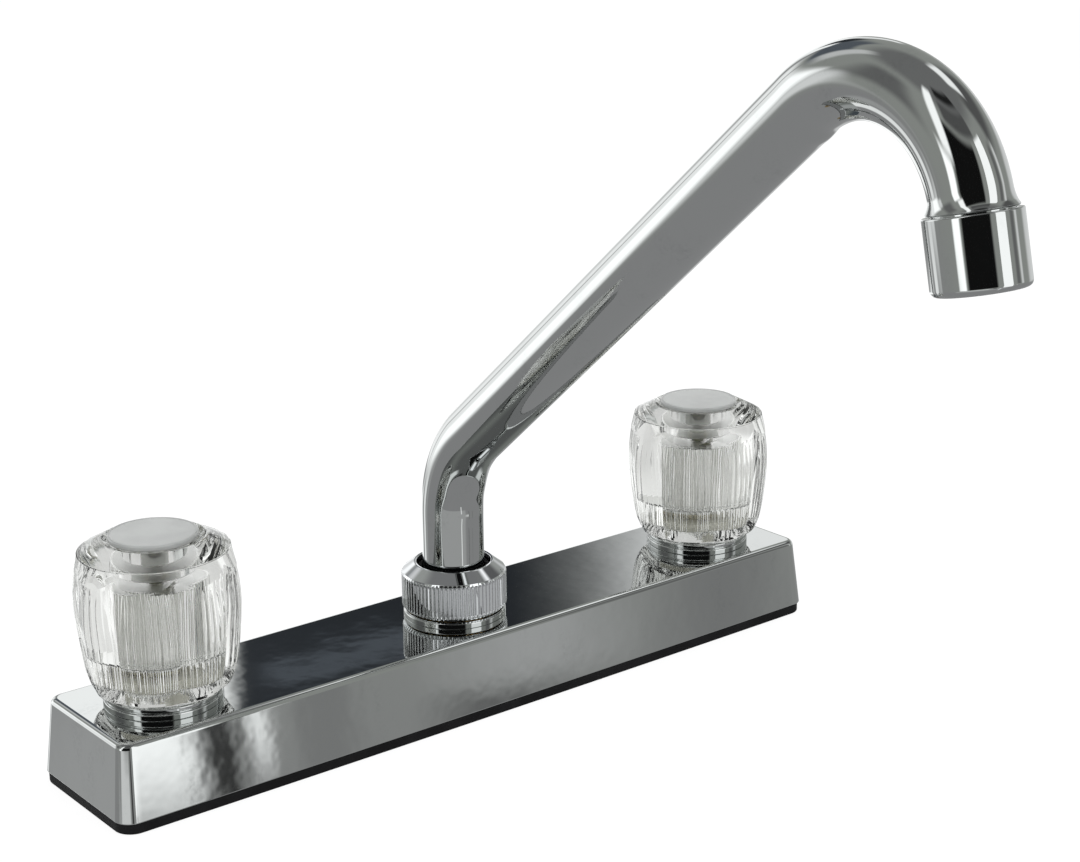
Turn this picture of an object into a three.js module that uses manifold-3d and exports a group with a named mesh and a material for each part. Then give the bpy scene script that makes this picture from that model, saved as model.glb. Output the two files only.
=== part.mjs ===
// A two handle kitchen faucet for a sink deck, with washerless valves under clear knobs and a swivel spout.
// Millimetres, +Z up. The origin is on the sink deck under the spout, -Y is towards the user,
// and the hot handle is on the user's left, at -X.
import * as THREE from "three";
import { mergeVertices } from "three/addons/utils/BufferGeometryUtils.js";
import Module from "manifold-3d";

// Clearances
const fitGap = 0.3; // between pieces that nest or rest on each other
const runGap = 0.3; // between pieces that turn on each other
const tightGap = 0.1; // between pieces that are drawn up tight
const sealEase = 0.1; // a seal's section is this much under its groove's
const past = 1; // how far a cutting solid runs beyond what it cuts

// Deck cover and gasket
const handleSpacing = 203.2; // between the two handle axes, eight inches
const gasketThickness = 3.2;
const gasketInset = 0.8; // how far the gasket's edge lies inside the cover's
const gasketCorner = 8;
const coverEnd = 27.5; // from a handle's axis to the cover's end
const coverLength = handleSpacing + 2 * coverEnd; // along X, at its lower edge
const coverWidth = 49.4;
const coverHeight = 22.2;
const coverDraft = 2.4; // each wall leans in by this much from bottom to top
const coverWall = 1.3;
const coverCorner = 5;
const coverEdge = 1.6; // rounding of the top edge

// Valve bodies, one under each handle
const shankLength = 46; // below the deck
const shankRadius = 10.5; // half inch straight pipe thread
const shankBore = 6.6;
const bodyRadius = 13.8;
const bodyFlange = 16.5;
const flangeThickness = 3;
const neckRadius = 12.8; // threaded, above the cover
const neckRise = 4.8;
const cartridgeBore = 9.9;
const floorDrop = 4.5; // from the port's axis down to the bore's floor
const pocketOffset = 4.6; // the seat lies to one side of the stem's axis
const pocketRadius = 4;
const pocketDepth = 5.5;
const pocketWeb = 2; // metal left under the pocket
const inletHole = 2.6;

// Crossover tubes from the valve bodies to the spout's post
const crossoverRadius = 4;
const crossoverWall = 1;
const crossoverSeat = 2.6; // how far a tube's end sits in a body's wall
const crossoverHeadroom = 1.6; // under the cover's top

// Nut and washer under the deck
const deckThickness = 12; // the sink deck that the nuts are drawn up against
const washerRadius = 19;
const washerThickness = 1.6;
const lockNutRadius = 17; // across its corners
const lockNutThickness = 8;

// Cartridge
const cartridgeWall = 2.3;
const cartridgeFlange = 1.6;
const windowRadius = 2.4;
const seatHole = 1.9;
const seatHeight = 2.4;
const seatProud = 0.3; // above the bore's floor
const springWall = 0.8;
const retainerThread = 1.5; // wall of the neck around the retainer's thread
const retainerSkirt = 6.2; // length of bore that takes the retainer
const retainerHead = 5.5; // height of its head above the neck
const stopRadius = 9; // of the recess in which the stem's lug turns
const stopDepth = 2.4;
const lugWidth = 3;
const stopEase = THREE.MathUtils.degToRad(2.3); // of turn left between lug and stop
const headStep = 0.2; // the retainer's head is this much inside the neck
const headEdge = 1;
const quarterTurn = Math.PI / 2;

// Stem
const discThickness = 2;
const waistRadius = 2.6;
const shaftRadius = 5.6;
const shaftRise = 2; // above the retainer
const stemShort = 0.5; // the stem ends this far below the bush's top
const broachRadius = 3.9;
const broachTooth = 0.5;
const broachTeeth = 8;
const stemSealSection = 0.95; // radius of the stem seal's section
const grooveMargin = 0.2; // each side of a sealing ring in its groove

// Cover nut: the chromed ring under each knob
const coverNutRadius = 16.8;
const coverNutStep = 0.6;
const coverNutLip = 0.9;

// Knob, with the bush moulded in it
const knobHeight = 43.1; // from its skirt to the shoulder
const knobLobes = 8;
const knobLobeDepth = 1.5;
const knobCavityRadius = 14.3;
const knobCavityDepth = 10.8;
const knobWeb = 2; // that the screw clamps
const knobInsertRadius = 9.2;
const knobInsertLength = 22.5;
const knobInsertDrop = 3; // how far the bush reaches down into the cavity
const knobInsertRibs = 12;
const knobInsertRibDepth = 0.5;
const capRadius = 12.5;
const capThickness = 1.6;
const capPlugRadius = 7;
const capPlugWall = 1.2;
const capPlugLength = 5;
const capProud = 1.2; // above the knob's shoulder
const capEdge = 0.4;
const screwRadius = 1.9;
const screwHeadRadius = 3.7;
const screwHeadHeight = 2.2;
const screwLength = 10.5;
const screwSlotWidth = 1;
const screwSlotDepth = 0.8;
// The knob's outline on the crest of a lobe: radius, and height as a share of knobHeight
const knobOutline = [
  [19.4, 0],
  [21.1, 0.13],
  [22.4, 0.34],
  [22.9, 0.55],
  [22.5, 0.73],
  [21.7, 0.86],
  [20.3, 0.965],
  [14.2, 1],
];

// Spout post, nut and bearing
const postRadius = 15.5;
const postFlange = 17.5;
const postNeck = 14;
const postNeckRise = 11; // above the cover
const postFloor = 5.8; // above the gasket
const baseRingRadius = 15.7;
const baseRingHeight = 2;
const baseRingEdge = 0.5;
const baseRingGap = 0.5; // the dark line between ring and nut
const nutRadius = 16.1;
const nutKnurls = 30;
const nutKnurlDepth = 0.4;
const nutKnurlHeight = 11.8;
const nutConeHeight = 2.6;
const nutOpening = 12.3;
const nutRim = 0.4; // flat left round the opening
const nutLip = 2.9; // height of the lip round the opening
const spoutSleeveLength = 14;
const spoutSleeveWall = 1.9; // fills the post's bore round the tube
const spoutGrooveDepth = 1.4;
const spoutSealSection = 0.68;
const spoutSleeveFlange = 13.7;
const bearingStep = 1.2; // height of the sleeve's flange
const sealFlange = 1; // height of the seal's flange
const sealRingRise = 2.7; // of the seal's collar above its flange

// Spout
const tubeRadius = 9.5; // three quarter inch tube
const tubeWall = 1.2;
const riserTop = 32; // where the first bend starts, above the cover
const lowerBendRadius = 37.3;
const lowerBend = THREE.MathUtils.degToRad(50);
const inclineLength = 173.6;
const archRadius = 31.1;
const arch = THREE.MathUtils.degToRad(117.7);
const outletStraight = 1.4;
const lowerBendSteps = 6;
const archSteps = 12;
const tubeSides = 14;
const flareRadius = 10.9; // collar swaged at the outlet
const flareStart = 10.4;
const flareCollar = 1.2;
const nippleLength = 7;

// Aerator
const aeratorRadius = 11.4;
const aeratorLength = 17.6;
const aeratorEdge = 1.2;
const aeratorLipStep = 1.2; // how far the lip reaches in over the tube's end
const aeratorLipRadius = tubeRadius - aeratorLipStep;
const aeratorLipLength = 2.2;
const aeratorWasherThickness = 1.6;
const aeratorWasherWidth = 2.5;
const aeratorInsertHeight = 4.9;
const aeratorHoles = 8;
const aeratorHoleRadius = 1.2;
const aeratorHoleCircle = 5.6;
const screenThickness = 0.8;
const screenRim = 1;
const screenSlots = 5;
const screenSlotWidth = 1.2;
const screenSlotPitch = 2.8;

// Facets of round pieces
const roundSides = 16;
const visibleSides = 24;
const smallSides = 12;
const sealSectionSides = 5;

// Heights and places worked out from the sizes above
const handleX = handleSpacing / 2;
const gasketTop = gasketThickness;
const coverTop = gasketTop + coverHeight;
const postBore = tubeRadius + fitGap + spoutSleeveWall + runGap;
const coverUnder = coverTop - coverWall;
const bodyShoulder = coverUnder - fitGap;
const portHeight = coverUnder - crossoverRadius - crossoverHeadroom;
const boreFloor = portHeight - floorDrop;
const pocketFloor = boreFloor - pocketDepth;
const neckTop = coverTop + neckRise;
const ledge = neckTop - retainerSkirt;
const retainerBore = neckRadius - retainerThread;
const cartridgeRadius = cartridgeBore - fitGap;
const cartridgeInside = cartridgeRadius - cartridgeWall;
const cartridgeTop = ledge + cartridgeFlange;
const retainerBottom = cartridgeTop + fitGap;
const retainerTop = neckTop + fitGap + retainerHead;
const discBottom = boreFloor + seatProud + runGap;
const collarBottom = portHeight + windowRadius;
const collarTop = cartridgeTop - fitGap;
const knobBase = neckTop + fitGap;
const knobTop = knobBase + knobHeight;
const capSeat = knobTop + capProud - capThickness - fitGap;
const knobInsertTop = knobBase + knobCavityDepth + knobInsertLength - knobInsertDrop;
const webTop = knobInsertTop + fitGap + knobWeb;
const postTop = coverTop + postNeckRise;
const nutBottom = coverTop + baseRingHeight + baseRingGap;
const nutShoulder = nutBottom + nutKnurlHeight;
const nutTop = nutShoulder + nutConeHeight;
const tubeBottom = postTop + fitGap - spoutSleeveLength;
const spoutFlangeTop = postTop + runGap + bearingStep;

const finishes = {
  chrome: { color: 0xc8ccd0, roughness: 0.06, metalness: 1 },
  brass: { color: 0xb18f55, roughness: 0.35, metalness: 1 },
  steel: { color: 0xa7abae, roughness: 0.3, metalness: 1 },
  acrylic: { color: 0xe9eeee, roughness: 0.05, metalness: 0, transparent: true, opacity: 0.4 },
  cream: { color: 0xdcd6c2, roughness: 0.5, metalness: 0 },
  rubber: { color: 0x141414, roughness: 0.7, metalness: 0 },
  plastic: { color: 0x8f9294, roughness: 0.5, metalness: 0 },
};

const wasm = await Module();
wasm.setup();

// A closed geometry as a solid that can be cut and joined.
function solidOf(geometry) {
  const bare = new THREE.BufferGeometry();
  bare.setAttribute("position", geometry.getAttribute("position"));
  bare.setIndex(geometry.index);
  const merged = mergeVertices(bare, 1e-4);
  const vertProperties = merged.attributes.position.array;
  const triVerts = new Uint32Array(merged.index.array);
  return new wasm.Manifold(new wasm.Mesh({ numProp: 3, vertProperties, triVerts }));
}

function geometryOf(solid) {
  const { vertProperties, triVerts } = solid.getMesh();
  const geometry = new THREE.BufferGeometry();
  geometry.setAttribute("position", new THREE.BufferAttribute(vertProperties, 3));
  geometry.setIndex(new THREE.BufferAttribute(triVerts, 1));
  geometry.computeVertexNormals();
  return geometry;
}

function cut(geometry, ...tools) {
  return geometryOf(tools.reduce((left, tool) => left.subtract(solidOf(tool)), solidOf(geometry)));
}

function join(geometry, ...others) {
  return geometryOf(others.reduce((sum, other) => sum.add(solidOf(other)), solidOf(geometry)));
}

// A solid turned about Z from an outline of [radius, height] points. An outline either starts and
// ends on the axis or goes round on itself, and it may be given in either direction.
function turned(outline, sides = roundSides) {
  const twiceArea = outline.reduce((sum, [r, z], i) => {
    const [nextR, nextZ] = outline[(i + 1) % outline.length];
    return sum + r * nextZ - nextR * z;
  }, 0);
  const ordered = twiceArea < 0 ? [...outline].reverse() : outline;
  const points = ordered.map(([r, z]) => new THREE.Vector2(r, z));
  if (outline[0][0] > 0) points.push(points[0].clone());
  return new THREE.LatheGeometry(points, sides).rotateX(Math.PI / 2);
}

function disc(radius, low, high, sides = roundSides) {
  return turned([[0, low], [radius, low], [radius, high], [0, high]], sides);
}

function ring(inner, outer, low, high, sides = roundSides) {
  return turned([[inner, low], [outer, low], [outer, high], [inner, high]], sides);
}

// A sealing ring of round section
function sealingRing(radius, section, height) {
  const outline = Array.from({ length: sealSectionSides }, (_, i) => {
    const angle = (i / sealSectionSides) * 2 * Math.PI;
    return [radius + section * Math.cos(angle), height + section * Math.sin(angle)];
  });
  return turned(outline);
}

// A rod along X between two places, at a height
function rodAlongX(radius, from, to, height, sides = smallSides) {
  return disc(radius, from, to, sides).rotateY(Math.PI / 2).translate(0, 0, height);
}

// A flat outline pulled up from one height to another
function prism(shape, low, high) {
  return new THREE.ExtrudeGeometry(shape, { depth: high - low, bevelEnabled: false }).translate(0, 0, low);
}

// A skin through rings of points, closed at both ends by a fan
function lofted(rings) {
  const count = rings[0].length;
  const last = rings.length - 1;
  const middle = (points) =>
    points.reduce((sum, p) => sum.add(p), new THREE.Vector3()).divideScalar(points.length);
  const vertices = [...rings.flat(), middle(rings[0]), middle(rings[last])];
  const lowCentre = count * rings.length;
  const index = [];
  for (let i = 0; i < count; i++) {
    const next = (i + 1) % count;
    index.push(lowCentre, next, i);
    index.push(lowCentre + 1, last * count + i, last * count + next);
    for (let level = 0; level < last; level++) {
      const a = level * count;
      const b = a + count;
      index.push(a + i, a + next, b + next, a + i, b + next, b + i);
    }
  }
  const geometry = new THREE.BufferGeometry().setFromPoints(vertices);
  geometry.setIndex(index);
  geometry.computeVertexNormals();
  return geometry;
}

// Points of a rectangle with round corners, seen from above, anticlockwise
function roundedRectangle(length, width, corner, height) {
  const cornerSteps = 3;
  const points = [];
  for (let quarter = 0; quarter < 4; quarter++) {
    const signX = quarter === 0 || quarter === 3 ? 1 : -1;
    const signY = quarter < 2 ? 1 : -1;
    const centreX = signX * (length / 2 - corner);
    const centreY = signY * (width / 2 - corner);
    for (let step = 0; step <= cornerSteps; step++) {
      const angle = (quarter + step / cornerSteps) * quarterTurn;
      const x = centreX + corner * Math.cos(angle);
      const y = centreY + corner * Math.sin(angle);
      points.push(new THREE.Vector3(x, y, height));
    }
  }
  return points;
}

// A round outline with teeth, whose crests are at the given radius
function toothedShape(radius, depth, teeth) {
  const points = [];
  for (let i = 0; i < teeth; i++) {
    for (const [share, drop] of [[0, 0], [0.3, 0], [0.5, depth], [0.8, depth]]) {
      const angle = ((i + share) / teeth) * 2 * Math.PI;
      const r = radius - drop;
      points.push(new THREE.Vector2(r * Math.cos(angle), r * Math.sin(angle)));
    }
  }
  return new THREE.Shape(points);
}

// A slice of a disc between two angles
function sectorShape(radius, from, to) {
  const shape = new THREE.Shape();
  shape.moveTo(0, 0);
  shape.absarc(0, 0, radius, from, to, false);
  shape.lineTo(0, 0);
  return shape;
}

// A straight bar from the axis outwards, centred on an angle
function radialBar(width, reach, angle, low, high) {
  const bar = new THREE.BoxGeometry(reach, width, high - low);
  bar.translate(reach / 2, 0, (low + high) / 2);
  return bar.rotateZ(angle);
}

function addPiece(group, name, geometry, finish) {
  const mesh = new THREE.Mesh(geometry, new THREE.MeshStandardMaterial(finishes[finish]));
  mesh.name = name;
  group.add(mesh);
}

// The thin chromed shell over the valve bodies
function deckCover() {
  const skin = (inset, low, high) => {
    const leanAt = (z) => (coverDraft * (z - gasketTop)) / coverHeight + inset;
    const edge = Math.max(coverEdge - inset, coverEdge / 8);
    const level = (z, extra) => {
      const drawIn = leanAt(z) + extra;
      return roundedRectangle(
        coverLength - 2 * drawIn,
        coverWidth - 2 * drawIn,
        coverCorner - inset - extra,
        z,
      );
    };
    return lofted([
      level(low, 0),
      level(high - edge, 0),
      level(high - 0.3 * edge, 0.3 * edge),
      level(high, edge),
    ]);
  };
  const low = gasketTop;
  const holes = [-handleX, handleX].map((x) =>
    disc(neckRadius + fitGap, low, coverTop + past).translate(x, 0, 0),
  );
  const postHole = disc(postNeck + fitGap, low, coverTop + past);
  return cut(skin(0, low, coverTop), skin(coverWall, low - past, coverUnder), postHole, ...holes);
}

function baseGasket() {
  const length = coverLength - 2 * gasketInset;
  const width = coverWidth - 2 * gasketInset;
  const shape = new THREE.Shape(
    roundedRectangle(length, width, gasketCorner, 0).map((p) => new THREE.Vector2(p.x, p.y)),
  );
  for (const x of [-handleX, handleX]) {
    const hole = new THREE.Path();
    hole.absarc(x, 0, shankRadius + fitGap, 0, 2 * Math.PI, true);
    shape.holes.push(hole);
  }
  return prism(shape, 0, gasketTop);
}

// One valve body: a threaded shank down through the deck, a bore for the cartridge with an
// eccentric pocket for the seat, a port towards the spout, and a threaded neck.
function valveBody(portSign) {
  const outside = turned([
    [0, -shankLength],
    [shankRadius, -shankLength],
    [shankRadius, gasketTop],
    [bodyFlange, gasketTop],
    [bodyFlange, gasketTop + flangeThickness],
    [bodyRadius, gasketTop + flangeThickness],
    [bodyRadius, bodyShoulder],
    [neckRadius, bodyShoulder],
    [neckRadius, neckTop],
    [0, neckTop],
  ]);
  const shankHole = disc(shankBore, -shankLength - past, pocketFloor - pocketWeb);
  const inlet = disc(inletHole, pocketFloor - pocketWeb - past, boreFloor, smallSides);
  const pocket = disc(pocketRadius, pocketFloor, boreFloor + past, smallSides);
  const bore = turned([
    [0, boreFloor],
    [cartridgeBore, boreFloor],
    [cartridgeBore, ledge],
    [retainerBore, ledge],
    [retainerBore, neckTop + past],
    [0, neckTop + past],
  ]);
  const port = rodAlongX(crossoverRadius + fitGap, 0, bodyRadius + past, portHeight);
  if (portSign < 0) port.rotateZ(Math.PI);
  const toSeat = (geometry) => geometry.translate(0, pocketOffset, 0);
  return cut(outside, shankHole, toSeat(inlet), toSeat(pocket), bore, port);
}

// The cartridge's fixed sleeve, with a window that faces the port
function cartridgeSleeve(portSign) {
  const flange = retainerBore - fitGap;
  const sleeve = turned([
    [cartridgeInside, boreFloor + fitGap],
    [cartridgeRadius, boreFloor + fitGap],
    [cartridgeRadius, ledge],
    [flange, ledge],
    [flange, cartridgeTop],
    [cartridgeInside, cartridgeTop],
  ]);
  const window = rodAlongX(windowRadius, 0, cartridgeRadius + past, portHeight);
  if (portSign < 0) window.rotateZ(Math.PI);
  return cut(sleeve, window);
}

// The nut that holds the cartridge down. The recess under it stops the stem's lug after a quarter turn.
function retainerNut(turnSign) {
  const skirt = retainerBore - fitGap;
  const head = neckRadius - headStep;
  const nut = turned([
    [shaftRadius + runGap, retainerBottom],
    [skirt, retainerBottom],
    [skirt, neckTop + fitGap],
    [head, neckTop + fitGap],
    [head, retainerTop - headEdge],
    [head - headEdge, retainerTop],
    [shaftRadius + runGap, retainerTop],
  ]);
  const low = retainerBottom - past;
  const high = retainerBottom + stopDepth;
  const lugHalf = Math.asin((lugWidth / 2 + 2 * runGap) / stopRadius) + stopEase;
  const from = turnSign > 0 ? -lugHalf : -quarterTurn - lugHalf;
  const recess = prism(sectorShape(stopRadius, from, from + quarterTurn + 2 * lugHalf), low, high);
  const roomForLug = [0, turnSign * quarterTurn].map((angle) =>
    radialBar(lugWidth + 2 * runGap, stopRadius, angle, low, high),
  );
  return cut(nut, recess, ...roomForLug);
}

// The stem: a disc with one hole that opens and shuts the seat, a waist that the water passes, a collar
// with a seal, a stop lug, a shaft and a toothed end for the knob.
function valveStem(turnSign) {
  const collar = cartridgeInside - runGap;
  const groove = collar - 2 * stemSealSection;
  const grooveMiddle = (collarBottom + collarTop) / 2;
  const grooveHalf = stemSealSection + grooveMargin;
  const shaftTop = retainerTop + shaftRise;
  const stemTop = knobInsertTop - stemShort;
  const turning = turned([
    [0, discBottom],
    [collar, discBottom],
    [collar, discBottom + discThickness],
    [waistRadius, discBottom + discThickness],
    [waistRadius, collarBottom],
    [collar, collarBottom],
    [collar, grooveMiddle - grooveHalf],
    [groove, grooveMiddle - grooveHalf],
    [groove, grooveMiddle + grooveHalf],
    [collar, grooveMiddle + grooveHalf],
    [collar, collarTop],
    [shaftRadius, collarTop],
    [shaftRadius, shaftTop],
    [0, shaftTop],
  ]);
  const teeth = toothedShape(broachRadius, broachTooth, broachTeeth);
  const broach = prism(teeth, shaftTop - past, stemTop);
  const lugLow = retainerBottom + runGap;
  const lugHigh = retainerBottom + stopDepth - runGap;
  const lug = radialBar(lugWidth, stopRadius - runGap, 0, lugLow, lugHigh);
  // Shut, the disc's hole lies a quarter turn away from the seat, which is on +Y.
  const holeAngle = quarterTurn - turnSign * quarterTurn;
  const x = pocketOffset * Math.cos(holeAngle);
  const y = pocketOffset * Math.sin(holeAngle);
  const hole = disc(seatHole, discBottom - past, discBottom + discThickness + past, smallSides);
  const screwHole = disc(screwRadius + fitGap, webTop - screwLength - past, stemTop + past, smallSides);
  return cut(join(turning, broach, lug), hole.translate(x, y, 0), screwHole);
}

function stemSeal() {
  const collar = cartridgeInside - runGap;
  const section = stemSealSection - sealEase;
  return sealingRing(collar - section, section, (collarBottom + collarTop) / 2);
}

function valveSeat() {
  const top = boreFloor + seatProud;
  const seat = ring(seatHole, pocketRadius - fitGap, top - seatHeight, top, smallSides);
  return seat.translate(0, pocketOffset, 0);
}

function seatSpring() {
  const outer = pocketRadius - fitGap;
  const top = boreFloor + seatProud - seatHeight - tightGap;
  return ring(outer - springWall, outer, pocketFloor, top, smallSides).translate(0, pocketOffset, 0);
}

// The chromed ring that is screwed on the neck and holds the cover down
function coverNut() {
  const bore = neckRadius + fitGap;
  return turned([
    [bore, coverTop],
    [coverNutRadius, coverTop],
    [coverNutRadius, neckTop - coverNutLip],
    [coverNutRadius - coverNutStep, neckTop - coverNutLip],
    [coverNutRadius - coverNutStep, neckTop],
    [bore, neckTop],
  ], visibleSides);
}

// The clear knob: lobed outside, with a cavity from below, a bore for its insert and a well for the screw
function clearKnob() {
  const stepsPerLobe = 4;
  const count = knobLobes * stepsPerLobe;
  const levels = knobOutline.map(([radius, share]) => {
    const fade = Math.min(1, 4 * share + 0.35) * (share === 1 ? 0 : 1);
    return Array.from({ length: count }, (_, i) => {
      const angle = (i / count) * 2 * Math.PI;
      const valley = 1 - Math.abs(Math.cos((knobLobes * angle) / 2));
      const r = radius - knobLobeDepth * fade * valley;
      return new THREE.Vector3(r * Math.cos(angle), r * Math.sin(angle), knobBase + share * knobHeight);
    });
  });
  const cavity = disc(knobCavityRadius, knobBase - past, knobBase + knobCavityDepth);
  const bore = disc(knobInsertRadius + fitGap, knobBase, knobInsertTop + fitGap);
  const screwHole = disc(screwRadius + fitGap, knobInsertTop, webTop + past, smallSides);
  const well = turned([
    [0, webTop],
    [capPlugRadius + fitGap, webTop],
    [capPlugRadius + fitGap, capSeat],
    [capRadius + fitGap, capSeat],
    [capRadius + fitGap, knobTop + past],
    [0, knobTop + past],
  ], visibleSides);
  return cut(lofted(levels), join(cavity, bore), join(well, screwHole));
}

// The bush inside the knob, ribbed outside and toothed inside for the stem
function knobInsert() {
  const low = knobInsertTop - knobInsertLength;
  const ribs = toothedShape(knobInsertRadius, knobInsertRibDepth, knobInsertRibs);
  const teeth = toothedShape(broachRadius + fitGap, broachTooth, broachTeeth);
  return cut(prism(ribs, low, knobInsertTop), prism(teeth, low - past, knobInsertTop + past));
}

function indexCap() {
  const low = capSeat + fitGap;
  const top = low + capThickness;
  const plugLow = low - capPlugLength;
  return turned([
    [0, low],
    [capPlugRadius - capPlugWall, low],
    [capPlugRadius - capPlugWall, plugLow],
    [capPlugRadius, plugLow],
    [capPlugRadius, low],
    [capRadius, low],
    [capRadius, top - capEdge],
    [capRadius - capEdge, top],
    [0, top],
  ], visibleSides);
}

function handleScrew() {
  const headLow = webTop + tightGap;
  const screw = turned(
    [
      [0, webTop - screwLength],
      [screwRadius, webTop - screwLength],
      [screwRadius, headLow],
      [screwHeadRadius, headLow],
      [screwHeadRadius, headLow + 0.6 * screwHeadHeight],
      [0.7 * screwHeadRadius, headLow + screwHeadHeight],
      [0, headLow + screwHeadHeight],
    ],
    smallSides,
  );
  const slot = new THREE.BoxGeometry(2 * screwHeadRadius + past, screwSlotWidth, 2 * screwSlotDepth);
  return cut(screw, slot.translate(0, 0, headLow + screwHeadHeight));
}

function deckWasher() {
  const low = -deckThickness - washerThickness;
  return ring(shankRadius + fitGap, washerRadius, low, -deckThickness, visibleSides);
}

function lockNut() {
  const top = -deckThickness - washerThickness - tightGap;
  const low = top - lockNutThickness;
  return cut(disc(lockNutRadius, low, top, 6), disc(shankRadius + fitGap, low - past, top + past));
}

// Everything under and in one handle. The port points to the spout, and the hot handle opens
// anticlockwise, the cold one clockwise.
function handleSide(name, x, portSign, turnSign) {
  const side = new THREE.Group();
  side.position.x = x;
  const add = (part, geometry, finish) => addPiece(side, name + "_" + part, geometry, finish);
  add("valve_body", valveBody(portSign), "brass");
  add("deck_washer", deckWasher(), "steel");
  add("lock_nut", lockNut(), "brass");
  add("seat_spring", seatSpring(), "steel");
  add("valve_seat", valveSeat(), "rubber");
  add("cartridge_sleeve", cartridgeSleeve(portSign), "cream");
  add("retainer_nut", retainerNut(turnSign), "cream");
  add("cover_nut", coverNut(), "chrome");
  add("stem", valveStem(turnSign), "brass");
  add("stem_seal", stemSeal(), "rubber");
  add("knob_insert", knobInsert(), "cream");
  add("knob", clearKnob(), "acrylic");
  add("handle_screw", handleScrew(), "brass");
  add("index_cap", indexCap(), "acrylic");
  return side;
}

function crossoverTube(sign) {
  const bodyEnd = handleX - bodyRadius + crossoverSeat;
  const postEnd = postRadius - crossoverSeat;
  const outside = rodAlongX(crossoverRadius, postEnd, bodyEnd, portHeight);
  const bore = rodAlongX(crossoverRadius - crossoverWall, postEnd - past, bodyEnd + past, portHeight);
  const tube = cut(outside, bore);
  return sign < 0 ? tube.rotateZ(Math.PI) : tube;
}

// The post in the middle, which takes both crossovers and carries the spout
function spoutPost() {
  const floor = gasketTop + postFloor;
  const post = turned([
    [0, gasketTop],
    [postFlange, gasketTop],
    [postFlange, gasketTop + flangeThickness],
    [postRadius, gasketTop + flangeThickness],
    [postRadius, bodyShoulder],
    [postNeck, bodyShoulder],
    [postNeck, postTop],
    [postBore, postTop],
    [postBore, floor],
    [0, floor],
  ]);
  const across = postRadius + past;
  return cut(post, rodAlongX(crossoverRadius + fitGap, -across, across, portHeight));
}

function baseRing() {
  return turned([
    [postNeck + fitGap, coverTop],
    [baseRingRadius, coverTop],
    [baseRingRadius, coverTop + baseRingHeight - baseRingEdge],
    [baseRingRadius - baseRingEdge, coverTop + baseRingHeight],
    [postNeck + fitGap, coverTop + baseRingHeight],
  ], visibleSides);
}

// The knurled nut that holds the spout in its post
function spoutNut() {
  const knurl = prism(toothedShape(nutRadius, nutKnurlDepth, nutKnurls), nutBottom, nutShoulder);
  const cone = turned([
    [0, nutShoulder - past],
    [nutRadius - nutKnurlDepth, nutShoulder - past],
    [nutRadius - nutKnurlDepth, nutShoulder],
    [nutOpening + nutRim, nutTop],
    [0, nutTop],
  ], visibleSides);
  const thread = disc(postNeck + fitGap, nutBottom - past, nutTop - nutLip);
  const opening = disc(nutOpening, nutBottom, nutTop + past, visibleSides);
  return cut(join(knurl, cone), join(thread, opening));
}

// The rubber ring seen as a dark line round the foot of the spout
function spoutSealRing() {
  const low = spoutFlangeTop + runGap;
  const bore = tubeRadius + runGap;
  const step = low + sealFlange;
  return turned([
    [bore, low],
    [spoutSleeveFlange, low],
    [spoutSleeveFlange, step],
    [nutOpening - runGap, step],
    [nutOpening - runGap, step + sealRingRise],
    [bore, step + sealRingRise],
  ]);
}

const spoutSealHeights = [1, 2].map((i) => tubeBottom + (i * spoutSleeveLength) / 3);

// The sleeve on the spout's lower end, with two grooves for its seals and the flange that the nut traps
function spoutSleeve() {
  const outer = postBore - runGap;
  const grooveFloor = outer - spoutGrooveDepth;
  const half = spoutSealSection + grooveMargin;
  const grooves = spoutSealHeights.flatMap((z) => [
    [outer, z - half],
    [grooveFloor, z - half],
    [grooveFloor, z + half],
    [outer, z + half],
  ]);
  return turned([
    [tubeRadius + fitGap, tubeBottom],
    [outer, tubeBottom],
    ...grooves,
    [outer, postTop + runGap],
    [spoutSleeveFlange, postTop + runGap],
    [spoutSleeveFlange, spoutFlangeTop],
    [tubeRadius + fitGap, spoutFlangeTop],
  ]);
}

// The spout's middle line, in the YZ plane from its lower end up: stations, each with its place, its
// heading (zero is towards the user, a quarter turn is up) and the tube's radius there.
function spoutLine() {
  const stations = [];
  let y = 0;
  let z = tubeBottom;
  let heading = quarterTurn;
  const mark = (radius = tubeRadius) => stations.push({ y, z, heading, radius });
  const forward = (length) => {
    y -= length * Math.cos(heading);
    z += length * Math.sin(heading);
  };
  const bend = (radius, angle, steps) => {
    const half = angle / steps / 2;
    for (let i = 0; i < steps; i++) {
      mark();
      heading -= half;
      forward(2 * radius * Math.sin(half));
      heading -= half;
    }
  };
  mark();
  forward(coverTop + riserTop - tubeBottom);
  bend(lowerBendRadius, lowerBend, lowerBendSteps);
  mark();
  forward(inclineLength);
  bend(archRadius, arch, archSteps);
  mark(flareStart);
  forward(outletStraight - flareCollar);
  mark(flareRadius);
  forward(flareCollar);
  mark(flareRadius);
  const outlet = { y, z, heading };
  mark();
  forward(nippleLength);
  mark();
  return { stations, outlet };
}

const { stations: tubeStations, outlet } = spoutLine();

// A ring of points round a station, moved along the line by a distance
function tubeRing({ y, z, heading }, radius, ahead = 0) {
  return Array.from({ length: tubeSides }, (_, i) => {
    const angle = (i / tubeSides) * 2 * Math.PI;
    const aside = radius * Math.sin(angle);
    return new THREE.Vector3(
      radius * Math.cos(angle),
      y + aside * Math.sin(heading) - ahead * Math.cos(heading),
      z + aside * Math.cos(heading) + ahead * Math.sin(heading),
    );
  });
}

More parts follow.
